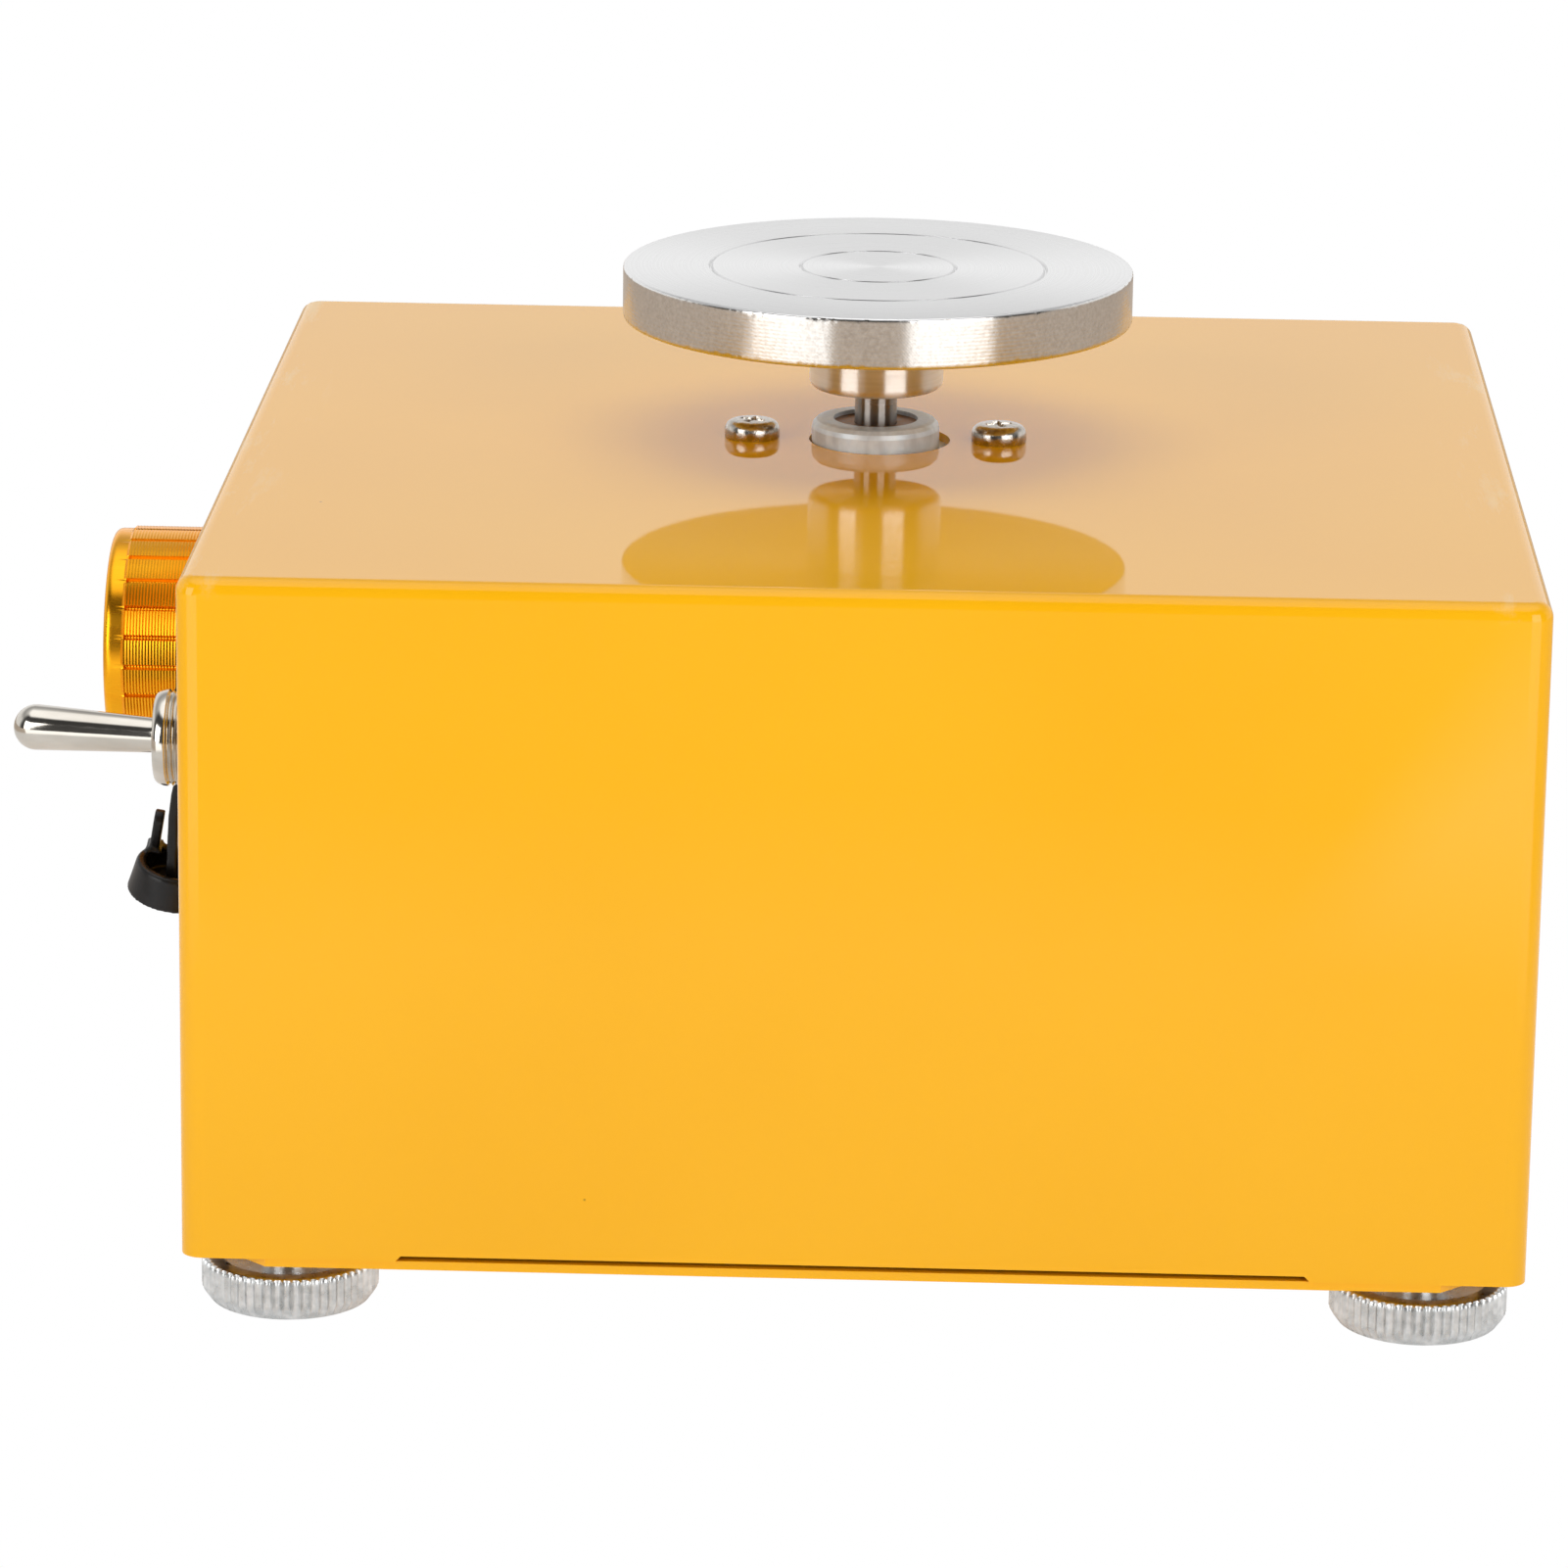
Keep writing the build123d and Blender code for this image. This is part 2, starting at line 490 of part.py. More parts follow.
pot_seat = xtube(6.5, POT_BUSH_R, -SHEET_T - 0.8, -SHEET_T, KNOB_Y, ROW_Z)
save(pot_seat, "pot_washer")
save(xhex(POT_NUT_AF, POT_BUSH_R, 0.0, 2.2, KNOB_Y, ROW_Z), "pot_nut")
lugs = []
POT_LUG_STEP = 5.0
for dy in (-POT_LUG_STEP, 0.0, POT_LUG_STEP):
    x0 = PANEL_X + 3.4
    lug = block(x0, x0 + 0.8, KNOB_Y + dy - 0.6, KNOB_Y + dy + 0.6, ROW_Z - 16.0, ROW_Z - POT_BODY_R + 2.4)
    lugs.append(lug - xcyl(POT_BODY_R, -12, -1, KNOB_Y, ROW_Z))
save(group(lugs), "pot_lugs")

# ================================================================ power switch
SWITCH_IN0 = 12.0
RIM_START = BUSH_OUT - BUSH_RIM
thread = [(-SWITCH_IN0, 0), (-SWITCH_IN0, BUSH_R), (RIM_START - 4 * THREAD_PITCH, BUSH_R)]
for i in range(4):
    o = RIM_START - (4 - i) * THREAD_PITCH
    thread += [(o + 0.5 * THREAD_PITCH, BUSH_R - THREAD_DEPTH), (o + THREAD_PITCH, BUSH_R)]
for k in range(1, 7):
    a = math.radians(15.0 * k)
    thread.append((RIM_START + BUSH_RIM * math.sin(a), BUSH_R - 0.55 * BUSH_RIM * (1 - math.cos(a))))
thread.append((BUSH_OUT, 0))
bushing = xturned(thread, TOGGLE_Y, ROW_Z)
bushing -= xturned(
    [
        (-SWITCH_IN0 - 1, 0),
        (-SWITCH_IN0 - 1, BUSH_BORE_R),
        (LEVER_PIVOT_OUT - 3.2, BUSH_BORE_R),
        (LEVER_PIVOT_OUT, 3.5),
        (BUSH_OUT - 0.3, BUSH_BORE_R - 0.1),
        (BUSH_OUT + 1, BUSH_BORE_R + 0.6),
        (BUSH_OUT + 1, 0),
    ],
    TOGGLE_Y,
    ROW_Z,
)
save(bushing, "switch_bushing")

SWITCH_HALF_Y = 11.0
SWITCH_HALF_Z = 8.0
SWITCH_IN1 = 30.0
SWITCH_WALL = 1.5
y0 = TOGGLE_Y - SWITCH_HALF_Y
y1 = TOGGLE_Y + SWITCH_HALF_Y
z0 = ROW_Z - SWITCH_HALF_Z
z1 = ROW_Z + SWITCH_HALF_Z
switch_body = block(PANEL_X + SWITCH_IN0, PANEL_X + SWITCH_IN1, y0, y1, z0, z1)
switch_body -= block(
    PANEL_X + SWITCH_IN0 + 0.8,
    PANEL_X + SWITCH_IN1 - SWITCH_WALL,
    y0 + SWITCH_WALL,
    y1 - SWITCH_WALL,
    z0 + SWITCH_WALL,
    z1 - SWITCH_WALL,
)
switch_body -= xcyl(BUSH_BORE_R, -SWITCH_IN0 - 1.5, -SWITCH_IN0 + 1, TOGGLE_Y, ROW_Z)
switch_lugs = []
for dy in (-7.0, 0.0, 7.0):
    y = TOGGLE_Y + dy
    lug = block(PANEL_X + SWITCH_IN1 - 4.0, PANEL_X + 36.0, y - 0.4, y + 0.4, ROW_Z - 2.4, ROW_Z + 2.4)
    switch_lugs.append(lug)
    switch_body -= lug
save(switch_body, "switch_body")
save(group(switch_lugs), "switch_lugs")
ROCKER_IN = 20.6
ROCKER_TILT = 0.4 * LEVER_TILT
rocker = Box(0.8, 13.0, 4.0) + Cylinder(0.7, 5.0) + Pos(1.3, 0, 0) * Box(1.6, 0.8, 4.0)
save(at(PANEL_X + ROCKER_IN, TOGGLE_Y, ROW_Z) * Rot(0, 0, ROCKER_TILT) * rocker, "switch_rocker")

pivot = (PANEL_X - LEVER_PIVOT_OUT, TOGGLE_Y, ROW_Z)
lever_pts = [
    (-19.0, 0),
    (-19.0, 0.7),
    (-18.6, 1.1),
    (-2.2, 1.1),
    (-1.9, 2.2),
    (-1.2, 2.75),
    (0.0, 3.0),
    (1.2, 2.75),
    (2.0, LEVER_ROOT_R),
    (LEVER_CENTRE, LEVER_TIP_R),
]
for k in range(1, 9):
    a = math.radians(90.0 * k / 9)
    lever_pts.append((LEVER_CENTRE + LEVER_TIP_R * math.sin(a), LEVER_TIP_R * math.cos(a)))
lever_pts.append((LEVER_CENTRE + LEVER_TIP_R, 0))
face = make_face(Polyline([(r, 0, o) for o, r in lever_pts], close=True))
lever = revolve(face, Axis.Z)
# the lever turns on a pin through its ball
lever += Rot(0, 90, 0) * Cylinder(0.5, 6.4)
lever = at(*pivot) * Rot(0, 0, -LEVER_TILT) * Rot(0, -90, 0) * lever
save(lever, "switch_lever")

switch_nuts = [
    xhex(TOGGLE_NUT_AF, BUSH_R, -SHEET_T - 2.2, -SHEET_T, TOGGLE_Y, ROW_Z),
    xhex(TOGGLE_NUT_AF, BUSH_R, 0.0, 2.2, TOGGLE_Y, ROW_Z),
]
save(group(switch_nuts), "switch_nuts")

# ================================================================ power socket
JACK_NOSE_R = JACK_BUSH_R - 0.9
jack = xcyl(JACK_BUSH_R, -12.0, 2.6, JACK_Y, ROW_Z) + xcyl(JACK_NOSE_R, 2.6, JACK_OUT, JACK_Y, ROW_Z)
jack -= xcyl(JACK_BORE_R, -9.0, JACK_OUT + 1, JACK_Y, ROW_Z)
jack -= xcyl(0.9, -13.0, -8.0, JACK_Y, ROW_Z)
save(jack, "socket_body")
pin = xcyl(0.9, -14.5, 3.6, JACK_Y, ROW_Z) + xcyl(1.05, -8.9, 3.6, JACK_Y, ROW_Z)
save(pin, "socket_pin")
save(xhex(2 * JACK_BUSH_R + 2.0, JACK_BUSH_R, -SHEET_T - 2.0, -SHEET_T, JACK_Y, ROW_Z), "socket_nut")
jack_lug = block(PANEL_X + 12.0, PANEL_X + 17.0, JACK_Y - 1.2, JACK_Y + 1.2, ROW_Z - 4.4, ROW_Z - 3.8)
save(jack_lug, "socket_lug")

# A soft rubber ring sits on the socket's nose and the dust cap hangs from it by a strap.
cap_ring = xtube(CAP_RING_R, JACK_BUSH_R, 0.0, 2.0, JACK_Y, ROW_Z)
cap_ring += xtube(CAP_RING_R, JACK_NOSE_R, 2.6, 4.0, JACK_Y, ROW_Z)
cap_ring += xtube(CAP_RING_R, JACK_BUSH_R, 1.9, 2.7, JACK_Y, ROW_Z)
# The strap's round root runs in two small ears of the ring, so the cap can be swung up out of the way.
HINGE_Z = ROW_Z - CAP_RING_R - 0.6
HINGE_OUT = 4.9
ROOT_R = 0.6
CAP_OUT = 6.0
CAP_Z = ROW_Z - CAP_DROP
CAP_FLOOR = 1.4
STRAP_W = 2.8
profile = [
    (0, -CAP_HEIGHT),
    (CAP_BASE_R, -CAP_HEIGHT),
    (CAP_BASE_R - 0.1, -CAP_HEIGHT + 0.5),
    (CAP_RIM_R + 0.15, -1.2),
    (CAP_RIM_R, -0.2),
    (CAP_RIM_R - 0.25, 0.1),
    (CAP_RIM_R - CAP_WALL + 0.15, 0.1),
    (CAP_RIM_R - CAP_WALL, -0.1),
    (CAP_RIM_R - CAP_WALL, -CAP_HEIGHT + CAP_FLOOR),
    (0, -CAP_HEIGHT + CAP_FLOOR),
]
cup = revolve(make_face(Polyline([(r, 0, z) for r, z in profile], close=True)), Axis.Z)
# the grip tab is a flat tongue that widens into the rim at the back
TAB_X = -CAP_RIM_R * 0.62
TAB_Y = CAP_RIM_R * 0.62
tab = Pos(TAB_X, TAB_Y, 1.0) * Box(1.15, 2.6, 5.4)
tab += Pos(TAB_X, TAB_Y, 3.7) * Rot(0, 90, 0) * Cylinder(1.3, 1.15)
tab += Pos(TAB_X, TAB_Y, -0.3) * Box(1.9, 3.2, 1.4)
tab -= Cylinder(CAP_RIM_R - CAP_WALL, 6, align=(Align.CENTER, Align.CENTER, Align.MAX))
cap = Pos(-CAP_OUT, 0, CAP_Z) * Rot(CAP_LEAN, CAP_TILT, 0) * (cup + tab)
strap_outline = [
    (HINGE_OUT - 0.55, HINGE_Z),
    (HINGE_OUT + 0.55, HINGE_Z),
    (HINGE_OUT + 1.0, HINGE_Z - 2.4),
    (HINGE_OUT + 1.5, HINGE_Z - 4.6),
    (HINGE_OUT + 1.85, HINGE_Z - 7.3),
    (HINGE_OUT + 2.3, CAP_Z - CAP_HEIGHT + CAP_FLOOR - 0.4),
    (HINGE_OUT + 1.0, CAP_Z - CAP_HEIGHT + CAP_FLOOR - 0.4),
    (HINGE_OUT + 0.7, HINGE_Z - 7.3),
    (HINGE_OUT + 0.35, HINGE_Z - 4.6),
    (HINGE_OUT - 0.1, HINGE_Z - 2.4),
]
strap = extrude(make_face(Polyline([(-o, 0, z) for o, z in strap_outline], close=True)), STRAP_W / 2, both=True)
strap += Pos(-HINGE_OUT, 0, HINGE_Z) * Rot(90, 0, 0) * Cylinder(ROOT_R, 4.4)
cap = at(PANEL_X, JACK_Y, 0) * (cap + strap)
save(cap, "dust_cap")
ears = Pos(-HINGE_OUT, 0, HINGE_Z) * Rot(90, 0, 0) * Cylinder(1.3, 4.4)
ears += Pos(-HINGE_OUT + 0.6, 0, HINGE_Z + 1.0) * Box(2.5, 4.4, 1.6)
ears -= Pos(-HINGE_OUT, 0, HINGE_Z) * Rot(90, 0, 0) * Cylinder(ROOT_R + RUN_GAP, 6)
ears -= Pos(-HINGE_OUT, 0, HINGE_Z) * Box(8, STRAP_W + 0.4, 5)
cap_ring += at(PANEL_X, JACK_Y, 0) * ears
cap_ring -= xcyl(JACK_NOSE_R, 0, 6, JACK_Y, ROW_Z)
save(cap_ring, "dust_cap_ring")

# ================================================================ speed controller
# A small board on hexagonal standoffs drives the motor from the socket's direct current.
board = block(BOARD_X0, BOARD_X1, BOARD_Y0, BOARD_Y1, BOARD_Z, BOARD_Z + BOARD_T)
for x, y in BOARD_HOLES:
    board -= cyl(1.5, BOARD_Z - 1, BOARD_Z + 3, x, y)
BOARD_TOP = BOARD_Z + BOARD_T
save(board, "board")
standoffs = [zhex(5.0, 1.25, COVER_Z, BOARD_Z, x, y) for x, y in BOARD_HOLES]
save(group(standoffs), "board_standoffs")
board_screws = []
for x, y in BOARD_HOLES:
    top = cyl(1.25, BOARD_TOP - 4, BOARD_TOP, x, y) + cyl(2.25, BOARD_TOP, BOARD_TOP + 1.5, x, y)
    top -= at(x, y, BOARD_TOP + 1.5) * Box(3.0, 0.6, 1.4)
    top -= at(x, y, BOARD_TOP + 1.5) * Box(0.6, 3.0, 1.4)
    low = cyl(1.25, PLATE_Z, PLATE_Z + 3, x, y) + cyl(2.25, PLATE_Z - 1.5, PLATE_Z, x, y)
    low -= at(x, y, PLATE_Z - 1.5) * Box(3.0, 0.6, 1.4)
    low -= at(x, y, PLATE_Z - 1.5) * Box(0.6, 3.0, 1.4)
    board_screws += [top, low]
save(group(board_screws), "board_screws")
capacitor = cyl(5.0, BOARD_TOP, BOARD_TOP + 16.0, BOARD_X0 + 23.0, -18.0)
capacitor = fillet(capacitor.edges().filter_by(GeomType.CIRCLE), 0.6)
save(capacitor, "board_capacitor")
transistor = block(BOARD_X0 + 19.0, BOARD_X0 + 23.5, 3.0, 13.0, BOARD_TOP, BOARD_TOP + 15.0)
save(transistor, "board_transistor")
sink = block(BOARD_X0 + 23.5, BOARD_X0 + 25.5, -2.0, 18.0, BOARD_TOP, BOARD_TOP + 22.0)
for i in range(5):
    y = -2.0 + 4.75 * i
    sink += block(BOARD_X0 + 25.5, BOARD_X0 + 31.0, y, y + 1.0, BOARD_TOP, BOARD_TOP + 22.0)
save(sink, "board_heatsink")
WIRE_Z = BOARD_TOP + 5.4
WIRE_END_X = BOARD_X0 + 2.0
blocks = []
for y in (-18.0, 16.5):
    piece = block(WIRE_END_X, WIRE_END_X + 8.0, y - 5.0, y + 5.0, BOARD_TOP, BOARD_TOP + 10.0)
    for dy in (-2.5, 2.5):
        piece -= cyl(1.7, BOARD_TOP + 8.5, BOARD_TOP + 11, WIRE_END_X + 4.0, y + dy)
    blocks.append(piece)
save(group(blocks), "board_terminals")
header = block(WIRE_END_X, WIRE_END_X + 3.0, KNOB_Y - 7.5, KNOB_Y + 7.5, BOARD_TOP, BOARD_TOP + 8.0)
save(header, "board_header")

# ---------------------------------------------------------------- wiring
POT_LUG_X = PANEL_X + 3.8
LUG_END_Z = ROW_Z - 16.0
LOW_Z = COVER_Z + 1.8
MID_Z = COVER_Z + 3.8
pot_wires = []
for dy in (-POT_LUG_STEP, 0.0, POT_LUG_STEP):
    pot_wires.append(
        wire(
            0.5,
            2.0,
            (POT_LUG_X, KNOB_Y + dy, LUG_END_Z),
            (POT_LUG_X, KNOB_Y + dy, LOW_Z),
            (BOARD_X0 - 2.5, KNOB_Y + dy, LOW_Z),
            (BOARD_X0 - 2.5, KNOB_Y + dy, WIRE_Z - 1.0),
            (WIRE_END_X, KNOB_Y + dy, WIRE_Z - 1.0),
        )
    )
save(group(pot_wires), "wires_speed_control")
MOTOR_LUG_Z = END_Z - 4
motor_wires = [
    wire(
        0.7,
        1.4,
        (BLADE_X, 0, MOTOR_LUG_Z),
        (BLADE_X, 0, MID_Z),
        (BLADE_X, 14.0, MID_Z),
        (BLADE_X, 14.0, WIRE_Z),
        (WIRE_END_X, 14.0, WIRE_Z),
    ),
    wire(
        0.7,
        1.4,
        (-BLADE_X, 0, MOTOR_LUG_Z),
        (-BLADE_X, 0, MID_Z),
        (-BLADE_X, 19.0, MID_Z),
        (BLADE_X, 19.0, MID_Z),
        (BLADE_X, 19.0, WIRE_Z),
        (WIRE_END_X, 19.0, WIRE_Z),
    ),
]
save(group(motor_wires), "wires_motor")
SW_END_X = PANEL_X + 36.0
PIN_END_X = PANEL_X + 14.5
power_wires = [
    wire(
        0.7,
        1.4,
        (PIN_END_X, JACK_Y, ROW_Z),
        (PIN_END_X + 8.0, JACK_Y, ROW_Z),
        (PIN_END_X + 8.0, JACK_Y - 6.0, ROW_Z),
        (SW_END_X + 5.0, JACK_Y - 6.0, ROW_Z),
        (SW_END_X + 5.0, TOGGLE_Y + 7.0, ROW_Z),
        (SW_END_X, TOGGLE_Y + 7.0, ROW_Z),
    ),
    wire(
        0.7,
        1.4,
        (SW_END_X, TOGGLE_Y, ROW_Z),
        (SW_END_X + 8.0, TOGGLE_Y, ROW_Z),
        (SW_END_X + 8.0, TOGGLE_Y, WIRE_Z),
        (BOARD_X0 - 7.0, TOGGLE_Y, WIRE_Z),
        (BOARD_X0 - 7.0, -20.5, WIRE_Z),
        (WIRE_END_X, -20.5, WIRE_Z),
    ),
    wire(
        0.7,
        1.4,
        (PANEL_X + 17.0, JACK_Y, ROW_Z - 4.1),
        (PANEL_X + 21.0, JACK_Y, ROW_Z - 4.1),
        (PANEL_X + 21.0, JACK_Y, MID_Z),
        (BOARD_X0 - 4.0, JACK_Y, MID_Z),
        (BOARD_X0 - 4.0, JACK_Y + 6.5, MID_Z),
        (BOARD_X0 - 4.0, JACK_Y + 6.5, WIRE_Z),
        (WIRE_END_X, JACK_Y + 6.5, WIRE_Z),
    ),
]
save(group(power_wires), "wires_power")
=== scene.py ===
import math

import bmesh
import bpy
from mathutils import Matrix, Vector, noise


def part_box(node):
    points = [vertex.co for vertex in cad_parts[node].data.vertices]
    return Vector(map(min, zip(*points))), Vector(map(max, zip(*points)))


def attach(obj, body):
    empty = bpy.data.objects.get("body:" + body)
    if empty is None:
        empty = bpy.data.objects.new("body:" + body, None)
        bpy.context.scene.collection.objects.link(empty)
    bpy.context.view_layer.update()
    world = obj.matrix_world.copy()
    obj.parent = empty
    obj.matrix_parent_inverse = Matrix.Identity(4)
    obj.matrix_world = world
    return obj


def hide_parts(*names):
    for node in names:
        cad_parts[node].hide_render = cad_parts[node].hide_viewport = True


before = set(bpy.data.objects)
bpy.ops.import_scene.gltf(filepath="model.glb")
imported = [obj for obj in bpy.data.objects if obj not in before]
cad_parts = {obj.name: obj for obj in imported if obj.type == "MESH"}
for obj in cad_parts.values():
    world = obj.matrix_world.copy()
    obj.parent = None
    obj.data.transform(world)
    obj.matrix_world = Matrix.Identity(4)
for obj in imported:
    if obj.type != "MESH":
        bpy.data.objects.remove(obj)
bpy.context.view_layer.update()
MM = 0.001

# ---------------------------------------------------------------- studio
# A product table: white paper underneath, a bright wall behind, a dim room in front and
# two big softboxes left and right of the camera, which looks down on the front of the box.
scene = bpy.context.scene
scene.view_settings.view_transform = "Standard"
scene.view_settings.look = "None"

SPINDLE_X = sum(corner.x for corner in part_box("turntable")) / 2
CAMERA_AT = Vector((SPINDLE_X + 12.05 * MM, -836.7 * MM, 276.75 * MM))
CAMERA_YAW = -0.02666
CAMERA_DOWN = 0.27204
CAMERA_ROLL = 0.013595
LENS_MM = 166.2
SENSOR_MM = 36.0


def camera_matrix(place, yaw, down, roll):
    forward = Vector((math.sin(yaw) * math.cos(down), math.cos(yaw) * math.cos(down), -math.sin(down)))
    level = Vector((math.cos(yaw), -math.sin(yaw), 0))
    upright = level.cross(forward)
    right = level * math.cos(roll) + upright * math.sin(roll)
    up = upright * math.cos(roll) - level * math.sin(roll)
    turn = Matrix((right, up, -forward)).transposed()
    return Matrix.Translation(place) @ turn.to_4x4()


camera = bpy.data.objects.new("camera", bpy.data.cameras.new("camera"))
camera.data.lens = LENS_MM
camera.data.sensor_width = SENSOR_MM
camera.data.clip_start = 0.01
camera.matrix_world = camera_matrix(CAMERA_AT, CAMERA_YAW, CAMERA_DOWN, CAMERA_ROLL)
scene.collection.objects.link(camera)
scene.camera = camera


def linear(code):
    """An sRGB hex colour as linear red, green, blue and alpha."""
    parts = [int(code[i : i + 2], 16) / 255 for i in (0, 2, 4)]
    return tuple(p / 12.92 if p <= 0.04045 else ((p + 0.055) / 1.055) ** 2.4 for p in parts) + (1.0,)


def add_node(tree, kind, values=None, links=None, **settings):
    """Adds a node, sets it up, fills in its sockets and links sockets from (node, output)."""
    node = tree.nodes.new(kind)
    for key, value in settings.items():
        setattr(node, key, value)
    for key, value in (values or {}).items():
        node.inputs[key].default_value = value
    for key, (source, output) in (links or {}).items():
        tree.links.new(source.outputs[output], node.inputs[key])
    return node


def set_ramp(node, stops):
    ramp = node.color_ramp
    while len(ramp.elements) > 1:
        ramp.elements.remove(ramp.elements[-1])
    ramp.elements[0].position = stops[0][0]
    ramp.elements[0].color = stops[0][1]
    for place, colour in stops[1:]:
        ramp.elements.new(place).color = colour


def grey(level):
    return (level, level, level, 1.0)


# Light of the room at the sine of each height above the horizon, behind and in front. The dim
# front gives way to the bright wall between two values of the direction's y.
BEHIND = [(0.0, 1.04), (0.40, 0.94), (0.60, 0.45), (0.72, 0.50), (0.84, 0.75), (0.92, 1.45), (1.0, 1.55)]
IN_FRONT = [(0.0, 0.08), (0.82, 0.06), (0.86, 0.4), (0.90, 1.45), (1.0, 1.55)]
DIM_UP_TO = -0.25
BRIGHT_FROM = 0.15
world = bpy.data.worlds.new("studio")
scene.world = world
world.use_nodes = True
room = world.node_tree
room.nodes.clear()
heading = add_node(room, "ShaderNodeTexCoord")
axes = add_node(room, "ShaderNodeSeparateXYZ", links={0: (heading, "Generated")})
wall = add_node(room, "ShaderNodeValToRGB", links={0: (axes, "Z")})
set_ramp(wall, [(at, grey(level)) for at, level in BEHIND])
dim = add_node(room, "ShaderNodeValToRGB", links={0: (axes, "Z")})
set_ramp(dim, [(at, grey(level)) for at, level in IN_FRONT])
turn = add_node(
    room,
    "ShaderNodeMapRange",
    {"From Min": DIM_UP_TO, "From Max": BRIGHT_FROM},
    {"Value": (axes, "Y")},
    interpolation_type="SMOOTHSTEP",
)
round_about = add_node(
    room,
    "ShaderNodeMix",
    links={"Factor": (turn, "Result"), "A": (dim, "Color"), "B": (wall, "Color")},
    data_type="RGBA",
)
looked_at = add_node(room, "ShaderNodeLightPath")
lit = add_node(room, "ShaderNodeBackground", {"Strength": 1.0}, {"Color": (round_about, "Result")})
paper_white = add_node(room, "ShaderNodeBackground", {"Color": grey(1.0), "Strength": 1.0})
seen = add_node(
    room,
    "ShaderNodeMixShader",
    links={0: (looked_at, "Is Camera Ray"), 1: (lit, 0), 2: (paper_white, 0)},
)
add_node(room, "ShaderNodeOutputWorld", links={"Surface": (seen, 0)})

# Each softbox: its bearing from straight in front, its half width in degrees and its power.
SOFTBOXES = {"softbox_left": (-46.0, 15.0, 7.2), "softbox_right": (34.5, 17.6, 8.4)}
SOFTBOX_DISTANCE = 1.5
SOFTBOX_HEIGHT = 0.90
SOFTBOX_LIFT_DEG = 17.0
SOFTBOX_AIM = Vector((0, 0, 50 * MM))
for softbox_name, (bearing, half_width, watts) in SOFTBOXES.items():
    lamp = bpy.data.lights.new(softbox_name, "AREA")
    lamp.shape = "RECTANGLE"
    lamp.size = 2 * SOFTBOX_DISTANCE * math.tan(math.radians(half_width))
    lamp.size_y = SOFTBOX_HEIGHT
    lamp.energy = watts
    softbox = bpy.data.objects.new(softbox_name, lamp)
    across = math.radians(bearing)
    lift = math.radians(SOFTBOX_LIFT_DEG)
    toward = Vector((math.sin(across) * math.cos(lift), -math.cos(across) * math.cos(lift), math.sin(lift)))
    softbox.location = SOFTBOX_AIM + toward * SOFTBOX_DISTANCE
    softbox.rotation_euler = toward.to_track_quat("Z", "Y").to_euler()
    scene.collection.objects.link(softbox)


def new_material(name):
    material = bpy.data.materials.new(name)
    material.use_nodes = True
    material.node_tree.nodes.clear()
    return material


# The pale paper glows with painted light. The glow is even round the object and falls off further out to a
# dim brown, apart from a painted pool of light in front of each softbox. It lies just clear of the feet
# screwed right down.
FLOOR_HALF = 6.0
FLOOR_DROP = 4.2 * MM
PAPER_GLOW = 0.50
FAR_GLOW = (0.22, 0.14, 0.07, 1)
LIT_WITHIN = 0.24
FALLS_OFF_AT = 0.32
POOL_BEARINGS_DEG = [(-53, -20), (17, 52)]
POOL_EDGE_DEG = 3.0
POOL_GLOW = 1.3
floor_mesh = bpy.data.meshes.new("floor")
floor_mesh.from_pydata(
    [
        (-FLOOR_HALF, -FLOOR_HALF, 0),
        (FLOOR_HALF, -FLOOR_HALF, 0),
        (FLOOR_HALF, FLOOR_HALF, 0),
        (-FLOOR_HALF, FLOOR_HALF, 0),
    ],
    [],
    [(0, 1, 2, 3)],
)
floor = bpy.data.objects.new("floor", floor_mesh)
floor.location.z = -FLOOR_DROP
scene.collection.objects.link(floor)
paper = new_material("white_background_paper")
tree = paper.node_tree
spot_on_floor = add_node(tree, "ShaderNodeTexCoord")
floor_axes = add_node(tree, "ShaderNodeSeparateXYZ", links={0: (spot_on_floor, "Object")})
toward_front = add_node(tree, "ShaderNodeMath", {1: -1.0}, {0: (floor_axes, "Y")}, operation="MULTIPLY")
bearing_here = add_node(
    tree, "ShaderNodeMath", links={0: (floor_axes, "X"), 1: (toward_front, "Value")}, operation="ARCTAN2"
)
half_round = add_node(
    tree,
    "ShaderNodeMapRange",
    {"From Min": -math.pi / 2, "From Max": math.pi / 2},
    {"Value": (bearing_here, "Value")},
)
# Painted pools of light: a bright floor glow between the bearings given for each softbox.
painted_light_pools = add_node(tree, "ShaderNodeValToRGB", links={0: (half_round, "Result")})
painted_pool_stops = []
for start, end in POOL_BEARINGS_DEG:
    painted_pool_stops += [(start - POOL_EDGE_DEG, 0.0), (start, 1.0), (end, 1.0), (end + POOL_EDGE_DEG, 0.0)]
set_ramp(
    painted_light_pools, [((degrees + 90) / 180, grey(POOL_GLOW) if level else FAR_GLOW) for degrees, level in painted_pool_stops]
)
how_far = add_node(tree, "ShaderNodeVectorMath", links={0: (spot_on_floor, "Object")}, operation="LENGTH")
nearness = add_node(
    tree,
    "ShaderNodeMapRange",
    {"From Min": FALLS_OFF_AT, "From Max": LIT_WITHIN},
    {"Value": (how_far, "Value")},
)
# The painted floor light: an even glow near the object, and the painted pools and dim brown glow further out.
painted_floor_light = add_node(
    tree,
    "ShaderNodeMix",
    {"B": grey(PAPER_GLOW)},
    {"Factor": (nearness, "Result"), "A": (painted_light_pools, "Color")},
    data_type="RGBA",
)
matt_white = add_node(tree, "ShaderNodeBsdfDiffuse", {"Color": linear("B4B4B4")})
glow = add_node(tree, "ShaderNodeEmission", {"Strength": 1.0}, {"Color": (painted_floor_light, "Result")})
both = add_node(tree, "ShaderNodeAddShader", links={0: (matt_white, 0), 1: (glow, 0)})
bright = add_node(tree, "ShaderNodeEmission", {"Color": grey(1.0), "Strength": 1.0})
looked_at = add_node(tree, "ShaderNodeLightPath")
